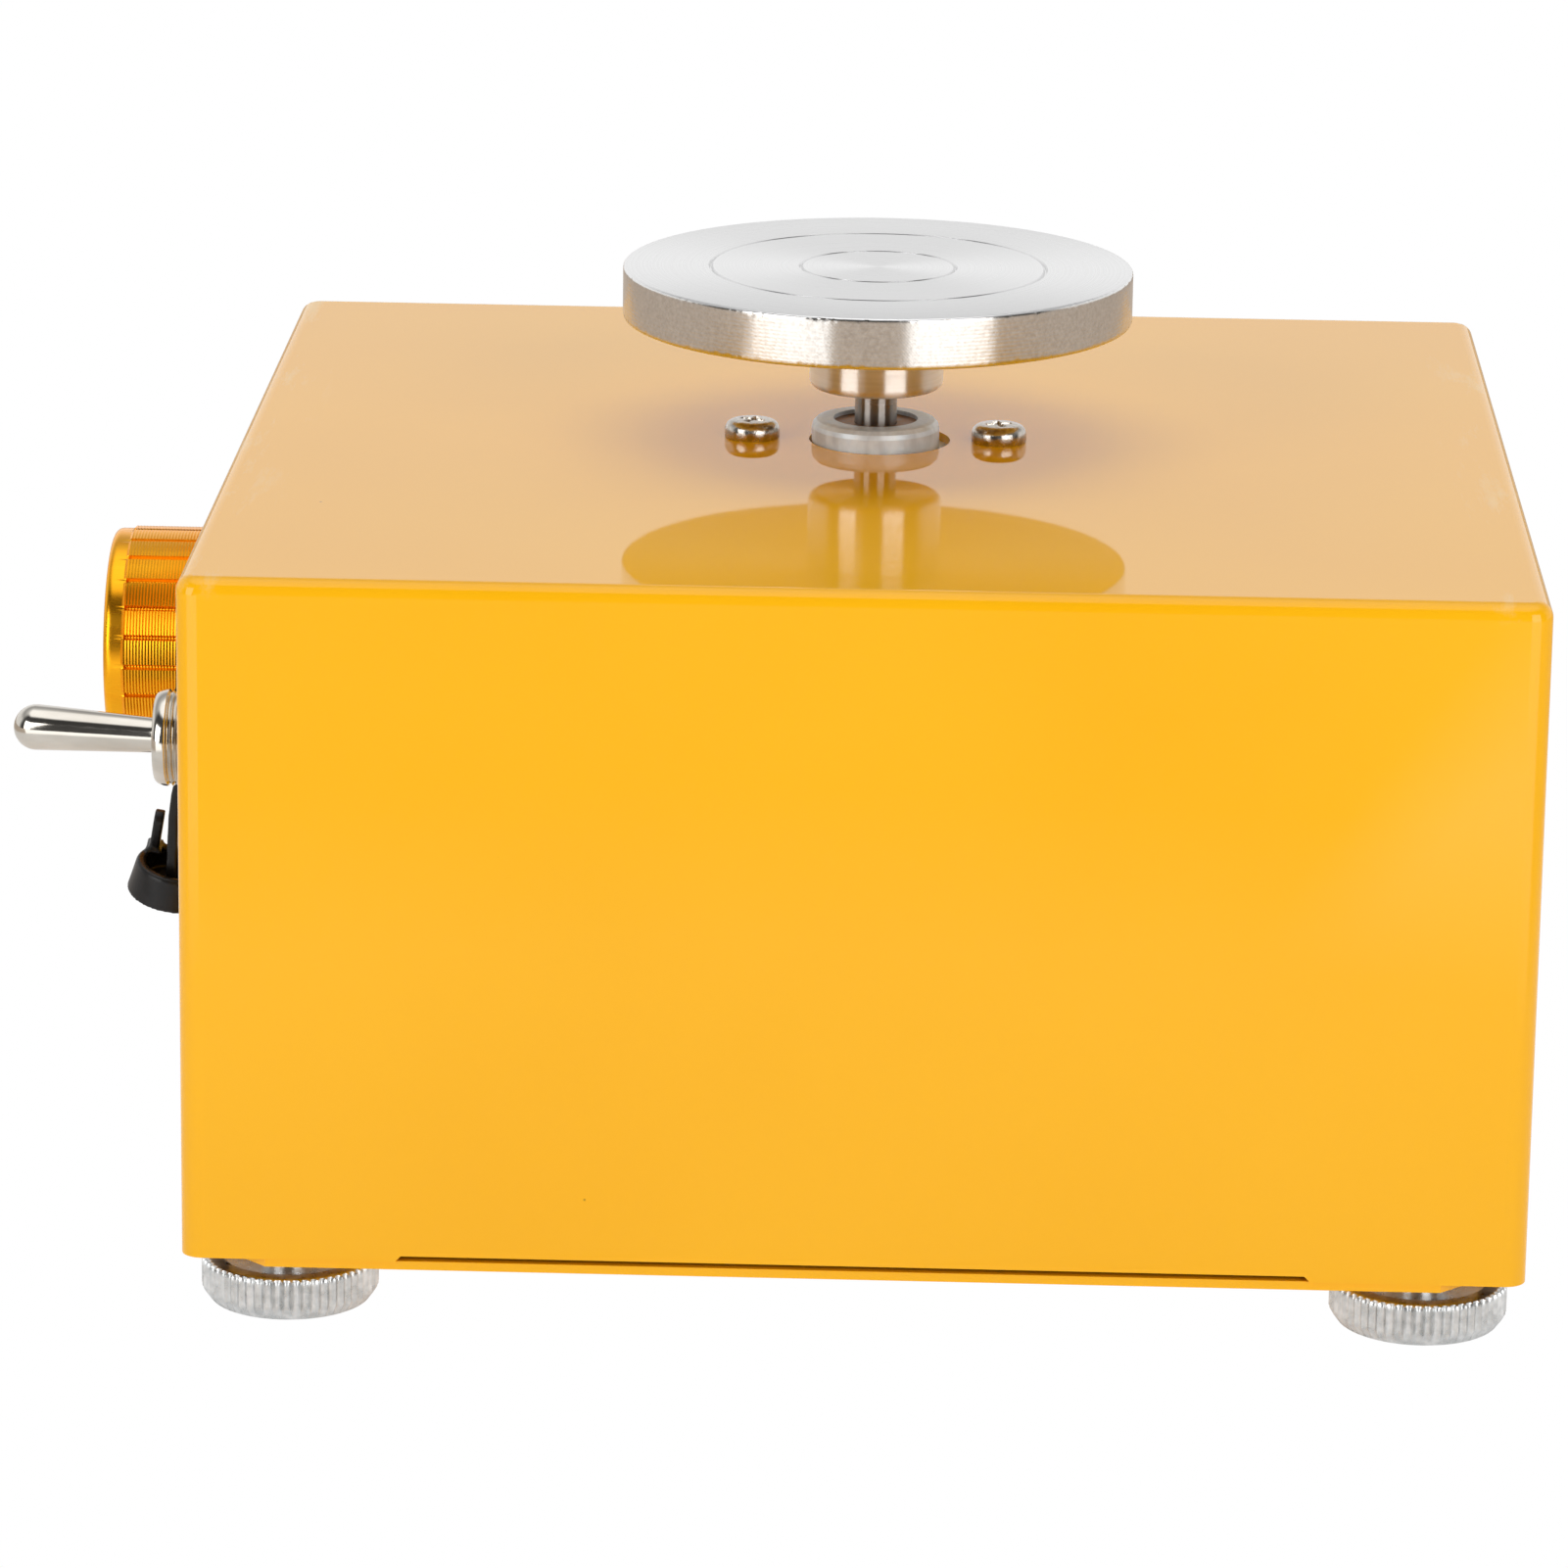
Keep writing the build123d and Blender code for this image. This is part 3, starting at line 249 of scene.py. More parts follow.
paper_seen = add_node(
    tree,
    "ShaderNodeMixShader",
    links={0: (looked_at, "Is Camera Ray"), 1: (both, 0), 2: (bright, 0)},
)
add_node(tree, "ShaderNodeOutputMaterial", links={"Surface": (paper_seen, 0)})
floor_mesh.materials.append(paper)

# ---------------------------------------------------------------- cover and bottom plate
# Both are folded and punched steel sheet, sprayed with a yellow stoving enamel. The cover
# slips over the plate and is held by four screws through its turned-in flanges.


def paint(node_names, material):
    for name in node_names:
        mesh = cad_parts[name].data
        mesh.materials.clear()
        mesh.materials.append(material)


def shade_by_angle(obj, degrees):
    """Smooth shading that keeps edges sharper than the angle crisp."""
    mesh = obj.data
    mesh.shade_smooth()
    mesh.set_sharp_from_angle(angle=math.radians(degrees))


# The enamel is a clean saturated yellow with a mirror gloss: a slow orange peel in the
# coat, a few dust specks caught in it, and faint rub marks near the folded top edges.
ENAMEL_CLOUD_MM = 45.0
ENAMEL_SPECK_MM = 15.0
ENAMEL_PEEL_MM = 2.6
ENAMEL_PEEL_DEPTH_MM = 0.02
RUB_MM = 5.0
RUB_STRETCH = 0.16
RUBS_IN_FROM_SIDE_MM = (9.0, 2.0)
RUBS_DOWN_FROM_TOP_MM = (2.5, 0.3)
ENAMEL_ROUGHNESS = 0.035
RUBBED_ROUGHNESS = 0.45
enamel = new_material("yellow_stoving_enamel")
tree = enamel.node_tree
place = add_node(tree, "ShaderNodeTexCoord")
cloud = add_node(
    tree,
    "ShaderNodeTexNoise",
    {"Scale": 1 / (ENAMEL_CLOUD_MM * MM), "Detail": 2.0},
    {"Vector": (place, "Object")},
)
tint = add_node(tree, "ShaderNodeValToRGB", links={0: (cloud, "Fac")})
set_ramp(tint, [(0.3, (0.955, 0.462, 0.004, 1)), (0.7, (0.975, 0.482, 0.006, 1))])
specks = add_node(
    tree,
    "ShaderNodeTexVoronoi",
    {"Scale": 1 / (ENAMEL_SPECK_MM * MM), "Randomness": 1.0},
    {"Vector": (place, "Object")},
)
speck_dots = add_node(tree, "ShaderNodeValToRGB", links={0: (specks, "Distance")})
set_ramp(speck_dots, [(0.010, grey(0.8)), (0.016, grey(0.0))])
speckled = add_node(
    tree,
    "ShaderNodeMix",
    {"B": linear("7A4A0C")},
    {"Factor": (speck_dots, "Color"), "A": (tint, "Color")},
    data_type="RGBA",
)
# The rub marks lie in a band a few millimetres wide just inside the top's two side edges.
COVER_LOW, COVER_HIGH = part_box("cover")
COVER_HALF_X = (COVER_HIGH.x - COVER_LOW.x) / 2
where = add_node(tree, "ShaderNodeSeparateXYZ", links={0: (place, "Object")})
from_middle = add_node(
    tree,
    "ShaderNodeMath",
    {1: (COVER_LOW.x + COVER_HIGH.x) / 2},
    {0: (where, "X")},
    operation="SUBTRACT",
)
off_middle = add_node(tree, "ShaderNodeMath", links={0: (from_middle, "Value")}, operation="ABSOLUTE")
near_side = add_node(
    tree,
    "ShaderNodeMapRange",
    {
        "From Min": COVER_HALF_X - RUBS_IN_FROM_SIDE_MM[0] * MM,
        "From Max": COVER_HALF_X - RUBS_IN_FROM_SIDE_MM[1] * MM,
    },
    {"Value": (off_middle, "Value")},
)
near_top = add_node(
    tree,
    "ShaderNodeMapRange",
    {
        "From Min": COVER_HIGH.z - RUBS_DOWN_FROM_TOP_MM[0] * MM,
        "From Max": COVER_HIGH.z - RUBS_DOWN_FROM_TOP_MM[1] * MM,
    },
    {"Value": (where, "Z")},
)
streaks = add_node(
    tree,
    "ShaderNodeMapping",
    {"Scale": (1.0, RUB_STRETCH, 1.0)},
    {"Vector": (place, "Object")},
)
rubs = add_node(
    tree,
    "ShaderNodeTexNoise",
    {"Scale": 1 / (RUB_MM * MM), "Detail": 5.0, "Roughness": 0.7},
    {"Vector": (streaks, 0)},
)
rub_marks = add_node(tree, "ShaderNodeValToRGB", links={0: (rubs, "Fac")})
set_ramp(rub_marks, [(0.56, grey(0.0)), (0.68, grey(0.35))])
on_edge = add_node(
    tree, "ShaderNodeMath", links={0: (near_side, "Result"), 1: (near_top, "Result")}, operation="MULTIPLY"
)
rubbed = add_node(
    tree, "ShaderNodeMath", links={0: (on_edge, "Value"), 1: (rub_marks, "Color")}, operation="MULTIPLY"
)
worn = add_node(
    tree,
    "ShaderNodeMix",
    {"B": linear("F6E2B4")},
    {"Factor": (rubbed, "Value"), "A": (speckled, "Result")},
    data_type="RGBA",
)
gloss = add_node(
    tree,
    "ShaderNodeMapRange",
    {"To Min": ENAMEL_ROUGHNESS, "To Max": RUBBED_ROUGHNESS},
    {"Value": (rubbed, "Value")},
)
peel = add_node(
    tree,
    "ShaderNodeTexNoise",
    {"Scale": 1 / (ENAMEL_PEEL_MM * MM), "Detail": 1.0},
    {"Vector": (place, "Object")},
)
wavy = add_node(
    tree,
    "ShaderNodeBump",
    {"Strength": 0.06, "Distance": ENAMEL_PEEL_DEPTH_MM * MM},
    {"Height": (peel, "Fac")},
)
glaze = add_node(
    tree,
    "ShaderNodeBsdfPrincipled",
    {"IOR": 1.42},
    {"Base Color": (worn, "Result"), "Roughness": (gloss, "Result"), "Normal": (wavy, "Normal")},
)
add_node(tree, "ShaderNodeOutputMaterial", links={"Surface": (glaze, 0)})
paint(["cover", "bottom_plate"], enamel)
for name in ("cover", "bottom_plate"):
    shade_by_angle(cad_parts[name], 25)

# ---------------------------------------------------------------- fixing screws and nuts
# Bought steel screws and nuts with a bright zinc plating. They hold the plate to the cover,
# the board to its posts and the feet's studs in the plate.


def surface(
    name,
    colours,
    blotch_mm,
    roughness,
    grain_mm,
    grain_depth_mm,
    stretch=(1, 1, 1),
    turned_about=None,
    **sockets,
):
    """A finish whose colour and gloss vary over blotch_mm, with a grain of a real size and depth."""
    material = new_material(name)
    tree = material.node_tree
    place = add_node(tree, "ShaderNodeTexCoord")
    along = add_node(tree, "ShaderNodeMapping", {"Scale": stretch}, {"Vector": (place, "Object")})
    blotch = add_node(
        tree, "ShaderNodeTexNoise", {"Scale": 1 / (blotch_mm * MM), "Detail": 3.0}, {"Vector": (along, 0)}
    )
    shade = add_node(tree, "ShaderNodeValToRGB", links={0: (blotch, "Fac")})
    set_ramp(shade, [(0.35, colours[0]), (0.65, colours[1])])
    dull = add_node(
        tree,
        "ShaderNodeMapRange",
        {"From Min": 0.3, "From Max": 0.7, "To Min": roughness[0], "To Max": roughness[1]},
        {"Value": (blotch, "Fac")},
    )
    grain = add_node(
        tree, "ShaderNodeTexNoise", {"Scale": 1 / (grain_mm * MM), "Detail": 2.0}, {"Vector": (along, 0)}
    )
    relief = add_node(
        tree, "ShaderNodeBump", {"Strength": 1.0, "Distance": grain_depth_mm * MM}, {"Height": (grain, "Fac")}
    )
    shader = add_node(
        tree,
        "ShaderNodeBsdfPrincipled",
        sockets,
        {"Base Color": (shade, "Color"), "Roughness": (dull, "Result"), "Normal": (relief, "Normal")},
    )
    if turned_about:
        around = add_node(tree, "ShaderNodeTangent", direction_type="RADIAL", axis=turned_about)
        tree.links.new(around.outputs["Tangent"], shader.inputs["Tangent"])
    add_node(tree, "ShaderNodeOutputMaterial", links={"Surface": (shader, 0)})
    return material


# Bright zinc is a pale, very slightly blue metal with a fine crystalline sparkle.
bright_zinc = surface(
    "bright_zinc_plate",
    (linear("C9CBCC"), linear("E0E1E1")),
    1.6,
    (0.16, 0.30),
    0.22,
    0.006,
    Metallic=1.0,
)
ZINC_PLATED = ["plate_screws", "board_screws", "foot_nuts"]
FOOT_NAMES = ["front_left", "front_right", "back_left", "back_right"]
ZINC_PLATED += ["foot_stud_" + corner for corner in FOOT_NAMES]
paint(ZINC_PLATED, bright_zinc)
for name in ZINC_PLATED:
    shade_by_angle(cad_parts[name], 30)

# ---------------------------------------------------------------- feet
# Each foot is a turned steel disc with a straight knurl pressed into its side, a shallow
# recess in its top and a zinc plating, and it screws up and down on its stud.
FOOT_R = 10.0
FOOT_H = 5.0
FOOT_RIDGES = 60
FOOT_RIDGE_DEPTH = 0.42
FOOT_RIDGE_POINTS = 8
FOOT_TOP_ROUND = 0.8
FOOT_BOTTOM_BEVEL = 1.1
FOOT_RECESS_R = 7.6
FOOT_RECESS = 0.35
FOOT_BORE_R = 3.05
FOOT_BORE_FLOOR = 1.2


def arc(centre, radius, start_deg, end_deg, count):
    """Points (radius, height) on an arc of a turned profile."""
    turns = [math.radians(start_deg + (end_deg - start_deg) * i / count) for i in range(count + 1)]
    return [(centre[0] + radius * math.cos(t), centre[1] + radius * math.sin(t)) for t in turns]


def lathe(name, profile, angles, cut=None):
    """A mesh turned about Z from (radius, height) points in millimetres, with a cut into its side."""
    bm = bmesh.new()
    rings = []
    for r, z in profile:
        if r < 1e-6:
            rings.append([bm.verts.new((0, 0, z * MM))])
            continue
        ring = []
        for a in angles:
            reach = (r - cut(a, r, z) if cut else r) * MM
            ring.append(bm.verts.new((reach * math.cos(a), reach * math.sin(a), z * MM)))
        rings.append(ring)
    count = len(angles)
    for low, high in zip(rings, rings[1:]):
        for i in range(count):
            j = (i + 1) % count
            corners = [low[i % len(low)], low[j % len(low)], high[j % len(high)], high[i % len(high)]]
            kept = list(dict.fromkeys(corners))
            if len(kept) > 2:
                bm.faces.new(kept)
    bmesh.ops.recalc_face_normals(bm, faces=bm.faces)
    mesh = bpy.data.meshes.new(name)
    bm.to_mesh(mesh)
    bm.free()
    return mesh


def even_angles(count):
    return [2 * math.pi * i / count for i in range(count)]


def place_piece(name, mesh, matrix, material, body, stands_for, sharp_deg=30):
    """Puts a finished mesh in its place on its body, in place of the CAD nodes it stands for."""
    piece = bpy.data.objects.new(name, mesh)
    scene.collection.objects.link(piece)
    piece.matrix_world = matrix
    if not mesh.materials:
        mesh.materials.append(material)
    shade_by_angle(piece, sharp_deg)
    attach(piece, body)
    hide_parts(*stands_for)
    return piece


def middle(node):
    low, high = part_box(node)
    return (low + high) / 2


def foot_knurl(angle, r, z):
    if r < FOOT_R - FOOT_BOTTOM_BEVEL - 0.01 or z < 0.01:
        return 0.0
    rounded = abs(math.sin(angle * FOOT_RIDGES / 2)) ** 0.8
    fade_low = min(1.0, max(0.0, (z - 0.55) / 0.9))
    fade_high = min(1.0, max(0.0, (FOOT_H - z) / 0.35))
    return FOOT_RIDGE_DEPTH * rounded * fade_low * fade_high


foot_profile = [(0, 0), (FOOT_R - FOOT_BOTTOM_BEVEL - 0.25, 0)]
foot_profile += arc((FOOT_R - FOOT_BOTTOM_BEVEL - 0.25, 0.6), 0.6, -80, -48, 3)
foot_profile += [(FOOT_R - 0.25, FOOT_BOTTOM_BEVEL), (FOOT_R, FOOT_BOTTOM_BEVEL + 0.45)]
foot_profile += [(FOOT_R, FOOT_BOTTOM_BEVEL + 0.45 + 0.35 * i) for i in range(1, 8)]
foot_profile += arc((FOOT_R - FOOT_TOP_ROUND, FOOT_H - FOOT_TOP_ROUND), FOOT_TOP_ROUND, 0, 90, 6)
foot_profile += [(FOOT_RECESS_R + 0.15, FOOT_H), (FOOT_RECESS_R, FOOT_H - 0.1)]
foot_profile += [(FOOT_RECESS_R - 0.05, FOOT_H - FOOT_RECESS + 0.08)]
foot_profile += [(FOOT_RECESS_R - 0.2, FOOT_H - FOOT_RECESS), (FOOT_BORE_R, FOOT_H - FOOT_RECESS)]
foot_profile += [(FOOT_BORE_R, FOOT_BORE_FLOOR), (0, FOOT_BORE_FLOOR)]
# Zinc on the tumbled discs is duller than on the screws, with coarser grains.
foot_zinc = surface(
    "zinc_plate_on_knurl",
    (linear("C6C8C8"), linear("E4E5E5")),
    1.2,
    (0.24, 0.40),
    0.35,
    0.007,
    Metallic=1.0,
)
foot_mesh = lathe("foot_disc", foot_profile, even_angles(FOOT_RIDGES * FOOT_RIDGE_POINTS), foot_knurl)
for corner in FOOT_NAMES:
    spot = middle("foot_disc_" + corner)
    place_piece(
        "knurled_foot_" + corner,
        foot_mesh,
        Matrix.Translation((spot.x, spot.y, 0)),
        foot_zinc,
        "disc_" + corner,
        ["foot_disc_" + corner],
    )

# ---------------------------------------------------------------- motor
# A bought direct-current motor: a drawn steel can with a raised nose that stands through
# the cover, a moulded end cap with the brushes, oiled bronze bushings and two M4 screws.

# Satin zinc on the drawn can is a flat pale grey, with faint marks from the drawing die.
satin_zinc = surface(
    "satin_zinc_on_drawn_steel",
    (linear("CBD3D8"), linear("E0E8EC")),
    1.4,
    (0.36, 0.52),
    0.25,
    0.008,
    (1, 1, 0.5),
    Metallic=0.3,
    IOR=1.6,
)
paint(["motor_can"], satin_zinc)
# Sintered bronze is a dull warm brown, porous and dark with oil.
oiled_bronze = surface(
    "oiled_sintered_bronze",
    (linear("6E4E2E"), linear("9A7247")),
    0.8,
    (0.35, 0.55),
    0.12,
    0.012,
    Metallic=1.0,
)
paint(["motor_bushings"], oiled_bronze)
# Polished nickel is a mirror with a slightly warm cast and hairline scratches.
bright_nickel = surface(
    "bright_nickel_plate",
    (linear("C8C2B8"), linear("D6D1C8")),
    2.5,
    (0.07, 0.14),
    0.35,
    0.0015,
    (1, 1, 0.3),
    Metallic=1.0,
)
# The motor screws are barrel plated: darker, and dimpled where they knocked together.
dimpled_nickel = surface(
    "barrel_plated_nickel",
    (linear("A49D94"), linear("D0C9C0")),
    0.7,
    (0.14, 0.30),
    0.7,
    0.045,
    Metallic=1.0,
)
PAN_HEAD_R = 3.25
PAN_HEAD_H = 2.2
PAN_SHANK_R = 2.0
PAN_WALL = 1.02
PAN_ROUND = 1.1
PAN_ROUND_DEG = 75
PAN_UNDER_BREAK = 0.15
PAN_SIDES = 96
PAN_RINGS = 24
RECESS_HALF_W = 0.42
RECESS_HALF_L = 1.55
RECESS_DEPTH = 1.0
RECESS_WALL = 0.16
RECESS_TURNS_DEG = (62, 20)
SCREW_LOW, SCREW_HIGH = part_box("motor_screws")
pan_underside = SCREW_HIGH.z / MM - PAN_HEAD_H
pan_flat_r = PAN_HEAD_R - PAN_ROUND
pan_flat_z = PAN_WALL + PAN_ROUND
pan_profile = [(0, SCREW_LOW.z / MM - pan_underside), (PAN_SHANK_R, SCREW_LOW.z / MM - pan_underside)]
pan_profile += [(PAN_SHANK_R, 0), (PAN_HEAD_R - PAN_UNDER_BREAK, 0), (PAN_HEAD_R, PAN_UNDER_BREAK)]
pan_profile += arc((pan_flat_r, PAN_WALL), PAN_ROUND, 0, PAN_ROUND_DEG, 6)
for i in range(PAN_RINGS + 1):
    r = pan_flat_r * (1 - i / PAN_RINGS)
    pan_profile.append((r, PAN_HEAD_H - (PAN_HEAD_H - pan_flat_z) * (r / pan_flat_r) ** 2))


def recess_depth(x, y, turn):
    """How far the cross recess goes down at a spot on the head, in millimetres."""
    along = abs(x * math.cos(turn) + y * math.sin(turn))
    across = abs(y * math.cos(turn) - x * math.sin(turn))
    inside = RECESS_HALF_W - min(along, across)
    inside = min(inside, RECESS_HALF_L - max(along, across))
    return RECESS_DEPTH * min(1.0, max(0.0, inside / RECESS_WALL))


both_heads = bmesh.new()
for side, turn_deg in zip((-1, 1), RECESS_TURNS_DEG):
    head = lathe("pan_head", pan_profile, even_angles(PAN_SIDES))
    for vertex in head.vertices:
        if vertex.co.z > pan_flat_z * MM:
            depth = recess_depth(vertex.co.x / MM, vertex.co.y / MM, math.radians(turn_deg))
            vertex.co.z -= depth * MM
    spread = (SCREW_HIGH.x - SCREW_LOW.x) / 2 - PAN_HEAD_R * MM
    head.transform(Matrix.Translation((side * spread, 0, 0)))
    both_heads.from_mesh(head)
    bpy.data.meshes.remove(head)
pan_mesh = bpy.data.meshes.new("motor_screws_pan_head")
both_heads.to_mesh(pan_mesh)
both_heads.free()
screws_mid = middle("motor_screws")
place_piece(
    "motor_screws_pan_head",
    pan_mesh,
    Matrix.Translation((screws_mid.x, screws_mid.y, pan_underside * MM)),
    dimpled_nickel,
    "housing",
    ["motor_screws"],
    sharp_deg=45,
)
# Ground shaft steel mirrors its surroundings darkly, with fine rings left by the wheel.
ground_steel = surface(
    "ground_shaft_steel",
    (linear("8F8A85"), linear("A29D98")),
    2.0,
    (0.22, 0.30),
    0.10,
    0.0012,
    (0.1, 0.1, 1),
    turned_about="Z",
    Metallic=1.0,
    Anisotropic=1.0,
    **{"Anisotropic Rotation": 0.25},
)
paint(["motor_shaft"], ground_steel)
# Black nylon is a moulded matt black with a fine spark-eroded grain.
black_nylon = surface(
    "moulded_black_nylon",
    (linear("1A1A1B"), linear("232324")),
    4.0,
    (0.45, 0.6),
    0.18,
    0.006,
    IOR=1.53,
)
paint(["motor_end_cap", "switch_body", "board_transistor"], black_nylon)
# Ferrite is a dark grey ceramic with ground faces.
ferrite = surface(
    "ground_ferrite", (linear("343437"), linear("45454A")), 1.5, (0.5, 0.7), 0.15, 0.006, IOR=2.2
)
paint(["motor_magnets"], ferrite)
# Pressed carbon is nearly black, greasy and slightly shiny where it rubs.
pressed_carbon = surface(
    "pressed_carbon", (linear("17171A"), linear("26262A")), 0.8, (0.3, 0.55), 0.1, 0.006, IOR=1.9
)
paint(["motor_brushes"], pressed_carbon)
# Stamped brass keeps a soft yellow shine with straight rolling marks.
stamped_brass = surface(
    "stamped_brass",
    (linear("C9A050"), linear("DDB867")),
    1.5,
    (0.22, 0.34),
    0.12,
    0.003,
    (0.15, 1, 1),
    Metallic=1.0,
)
BRASS_PIECES = ["motor_terminals", "pot_lugs", "switch_lugs", "switch_rocker", "socket_lug"]
BRASS_PIECES += ["board_standoffs", "pot_shaft", "pot_bushing"]
paint(BRASS_PIECES, stamped_brass)
# Stacked laminations show as fine level lines in dark varnished sheet steel.
laminations = surface(
    "varnished_laminations",
    (linear("4A4A50"), linear("6B6B72")),
    0.5,
    (0.4, 0.55),
    0.5,
    0.03,
    (0.02, 0.02, 1),
    Metallic=1.0,
)
paint(["rotor_core"], laminations)
# Enamelled copper wire is a glossy orange brown, laid in fine turns.
enamelled_copper = surface(
    "enamelled_copper_turns",
    (linear("9C4A22"), linear("C46B38")),
    0.6,
    (0.2, 0.35),
    0.4,
    0.06,
    (1, 1, 0.25),
    Metallic=1.0,
)
paint(["rotor_windings"], enamelled_copper)
# The commutator's copper is bright where the brushes have run.
run_copper = surface(
    "run_in_copper",
    (linear("B06A45"), linear("D98F66")),
    1.0,
    (0.2, 0.4),
    0.15,
    0.004,
    (0.1, 0.1, 1),
    Metallic=1.0,
)
paint(["rotor_commutator"], run_copper)
for name in BRASS_PIECES + [
    "motor_can",
    "motor_bushings",
    "motor_shaft",
    "motor_end_cap",
    "motor_magnets",
    "motor_brushes",
    "rotor_core",
    "rotor_windings",
    "rotor_commutator",
    "switch_body",
    "board_transistor",
]:
    shade_by_angle(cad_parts[name], 30)

# ---------------------------------------------------------------- turntable
# The round table is turned from aluminium bar: a flat faced top with two fine centring
# rings, small broken edges and tool rings on its rim. It is pressed on the hub.
DISC_LOW, DISC_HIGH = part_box("turntable")
DISC_R = (DISC_HIGH.x - DISC_LOW.x) / 2 / MM
DISC_T = (DISC_HIGH.z - DISC_LOW.z) / MM
RING_RADII = (9.1, 19.7)
RING_W = 0.5
RING_DEPTH = 0.35
EDGE_BREAK = 0.35
RIM_MARK_STEP = 0.42
RIM_MARK_DEPTH = 0.005
SPIGOT_R = 6.0
SPIGOT_COVER = 1.2

disc_profile = [(0, DISC_T - SPIGOT_COVER), (SPIGOT_R, DISC_T - SPIGOT_COVER), (SPIGOT_R, 0)]
disc_profile += arc((DISC_R - EDGE_BREAK, EDGE_BREAK), EDGE_BREAK, -90, 0, 4)
rim_marks = int((DISC_T - 2 * EDGE_BREAK) / RIM_MARK_STEP)
for i in range(1, rim_marks):
    mark_z = EDGE_BREAK + i * (DISC_T - 2 * EDGE_BREAK) / rim_marks
    disc_profile += [(DISC_R, mark_z - 0.1), (DISC_R - RIM_MARK_DEPTH, mark_z), (DISC_R, mark_z + 0.1)]
disc_profile += arc((DISC_R - EDGE_BREAK, DISC_T - EDGE_BREAK), EDGE_BREAK, 0, 90, 4)
for r in reversed(RING_RADII):
    half = RING_W / 2
    disc_profile += [(r + half, DISC_T), (r + 0.3 * half, DISC_T - RING_DEPTH)]
    disc_profile += [(r - 0.3 * half, DISC_T - RING_DEPTH), (r - half, DISC_T)]
disc_profile += [(0, DISC_T)]

# Faced aluminium is pale and silky: rings finer than a hair draw its highlights out along
# the radius, and colour and gloss change slightly from ring to ring.
TOOL_RING_MM = 0.16
TOOL_RING_DEPTH_MM = 0.004
faced_aluminium = new_material("faced_aluminium")
tree = faced_aluminium.node_tree
place = add_node(tree, "ShaderNodeTexCoord")
reach = add_node(tree, "ShaderNodeVectorMath", {1: (1, 1, 0)}, {0: (place, "Object")}, operation="MULTIPLY")
radius = add_node(tree, "ShaderNodeVectorMath", links={0: (reach, "Vector")}, operation="LENGTH")
per_ring = add_node(
    tree, "ShaderNodeMath", {1: 1 / (TOOL_RING_MM * MM)}, {0: (radius, "Value")}, operation="MULTIPLY"
)
ring_noise = add_node(
    tree,
    "ShaderNodeTexNoise",
    {"Scale": 1.0, "Detail": 2.0},
    {"W": (per_ring, "Value")},
    noise_dimensions="1D",
)
ring_colour = add_node(tree, "ShaderNodeValToRGB", links={0: (ring_noise, "Fac")})
set_ramp(ring_colour, [(0.3, linear("E0E0E0")), (0.7, linear("EEEEEE"))])
ring_gloss = add_node(
    tree, "ShaderNodeMapRange", {"To Min": 0.24, "To Max": 0.36}, {"Value": (ring_noise, "Fac")}
)
ring_relief = add_node(
    tree,
    "ShaderNodeBump",
    {"Strength": 0.5, "Distance": TOOL_RING_DEPTH_MM * MM},
    {"Height": (ring_noise, "Fac")},
)
round_axis = add_node(tree, "ShaderNodeTangent", direction_type="RADIAL", axis="Z")
turned = add_node(
    tree,
    "ShaderNodeBsdfPrincipled",
    {"Metallic": 1.0, "Anisotropic": 0.6, "Anisotropic Rotation": 0.25},
    {
        "Base Color": (ring_colour, "Color"),
        "Roughness": (ring_gloss, "Result"),
        "Normal": (ring_relief, "Normal"),
        "Tangent": (round_axis, "Tangent"),
    },
)
add_node(tree, "ShaderNodeOutputMaterial", links={"Surface": (turned, 0)})
# The rim was turned coarsely: sharp from side to side, smeared up and down, with slanting
# chatter marks and small nicks along both edges.
CHATTER_MM = 0.42
RIM_NICK_MM = 0.45
RIM_RELIEF_MM = 0.003
turned_rim = new_material("coarsely_turned_aluminium")
tree = turned_rim.node_tree
place = add_node(tree, "ShaderNodeTexCoord")
chatter = add_node(
    tree,
    "ShaderNodeTexWave",
    {"Scale": math.pi / 5 / (CHATTER_MM * MM), "Distortion": 1.5, "Detail": 2.0, "Detail Scale": 1.5},
    {"Vector": (place, "Object")},
    bands_direction="DIAGONAL",
)
nicks = add_node(
    tree,
    "ShaderNodeTexNoise",
    {"Scale": 1 / (RIM_NICK_MM * MM), "Detail": 3.0, "Roughness": 0.7},
    {"Vector": (place, "Object")},
)
nick_marks = add_node(tree, "ShaderNodeValToRGB", links={0: (nicks, "Fac")})
set_ramp(nick_marks, [(0.36, grey(0.0)), (0.44, grey(1.0))])
both_marks = add_node(
    tree,
    "ShaderNodeMath",
    {1: 0.6},
    {0: (chatter, "Fac"), 2: (nick_marks, "Color")},
    operation="MULTIPLY_ADD",
)
rim_relief = add_node(
    tree,
    "ShaderNodeBump",
    {"Strength": 0.5, "Distance": RIM_RELIEF_MM * MM},
    {"Height": (both_marks, "Value")},
)
rim_colour = add_node(tree, "ShaderNodeValToRGB", links={0: (nicks, "Fac")})
set_ramp(rim_colour, [(0.3, linear("C4BFB9")), (0.7, linear("DDDAD6"))])
round_axis = add_node(tree, "ShaderNodeTangent", direction_type="RADIAL", axis="Z")
rim_shader = add_node(
    tree,
    "ShaderNodeBsdfPrincipled",
    {"Metallic": 1.0, "Roughness": 0.17, "Anisotropic": 0.7, "Anisotropic Rotation": 0.25},
    {
        "Base Color": (rim_colour, "Color"),
        "Normal": (rim_relief, "Normal"),
        "Tangent": (round_axis, "Tangent"),
    },
)
add_node(tree, "ShaderNodeOutputMaterial", links={"Surface": (rim_shader, 0)})


DENTS_ROUND = 62
DENT_DEPTH = 0.14
DENT_FROM = 0.12


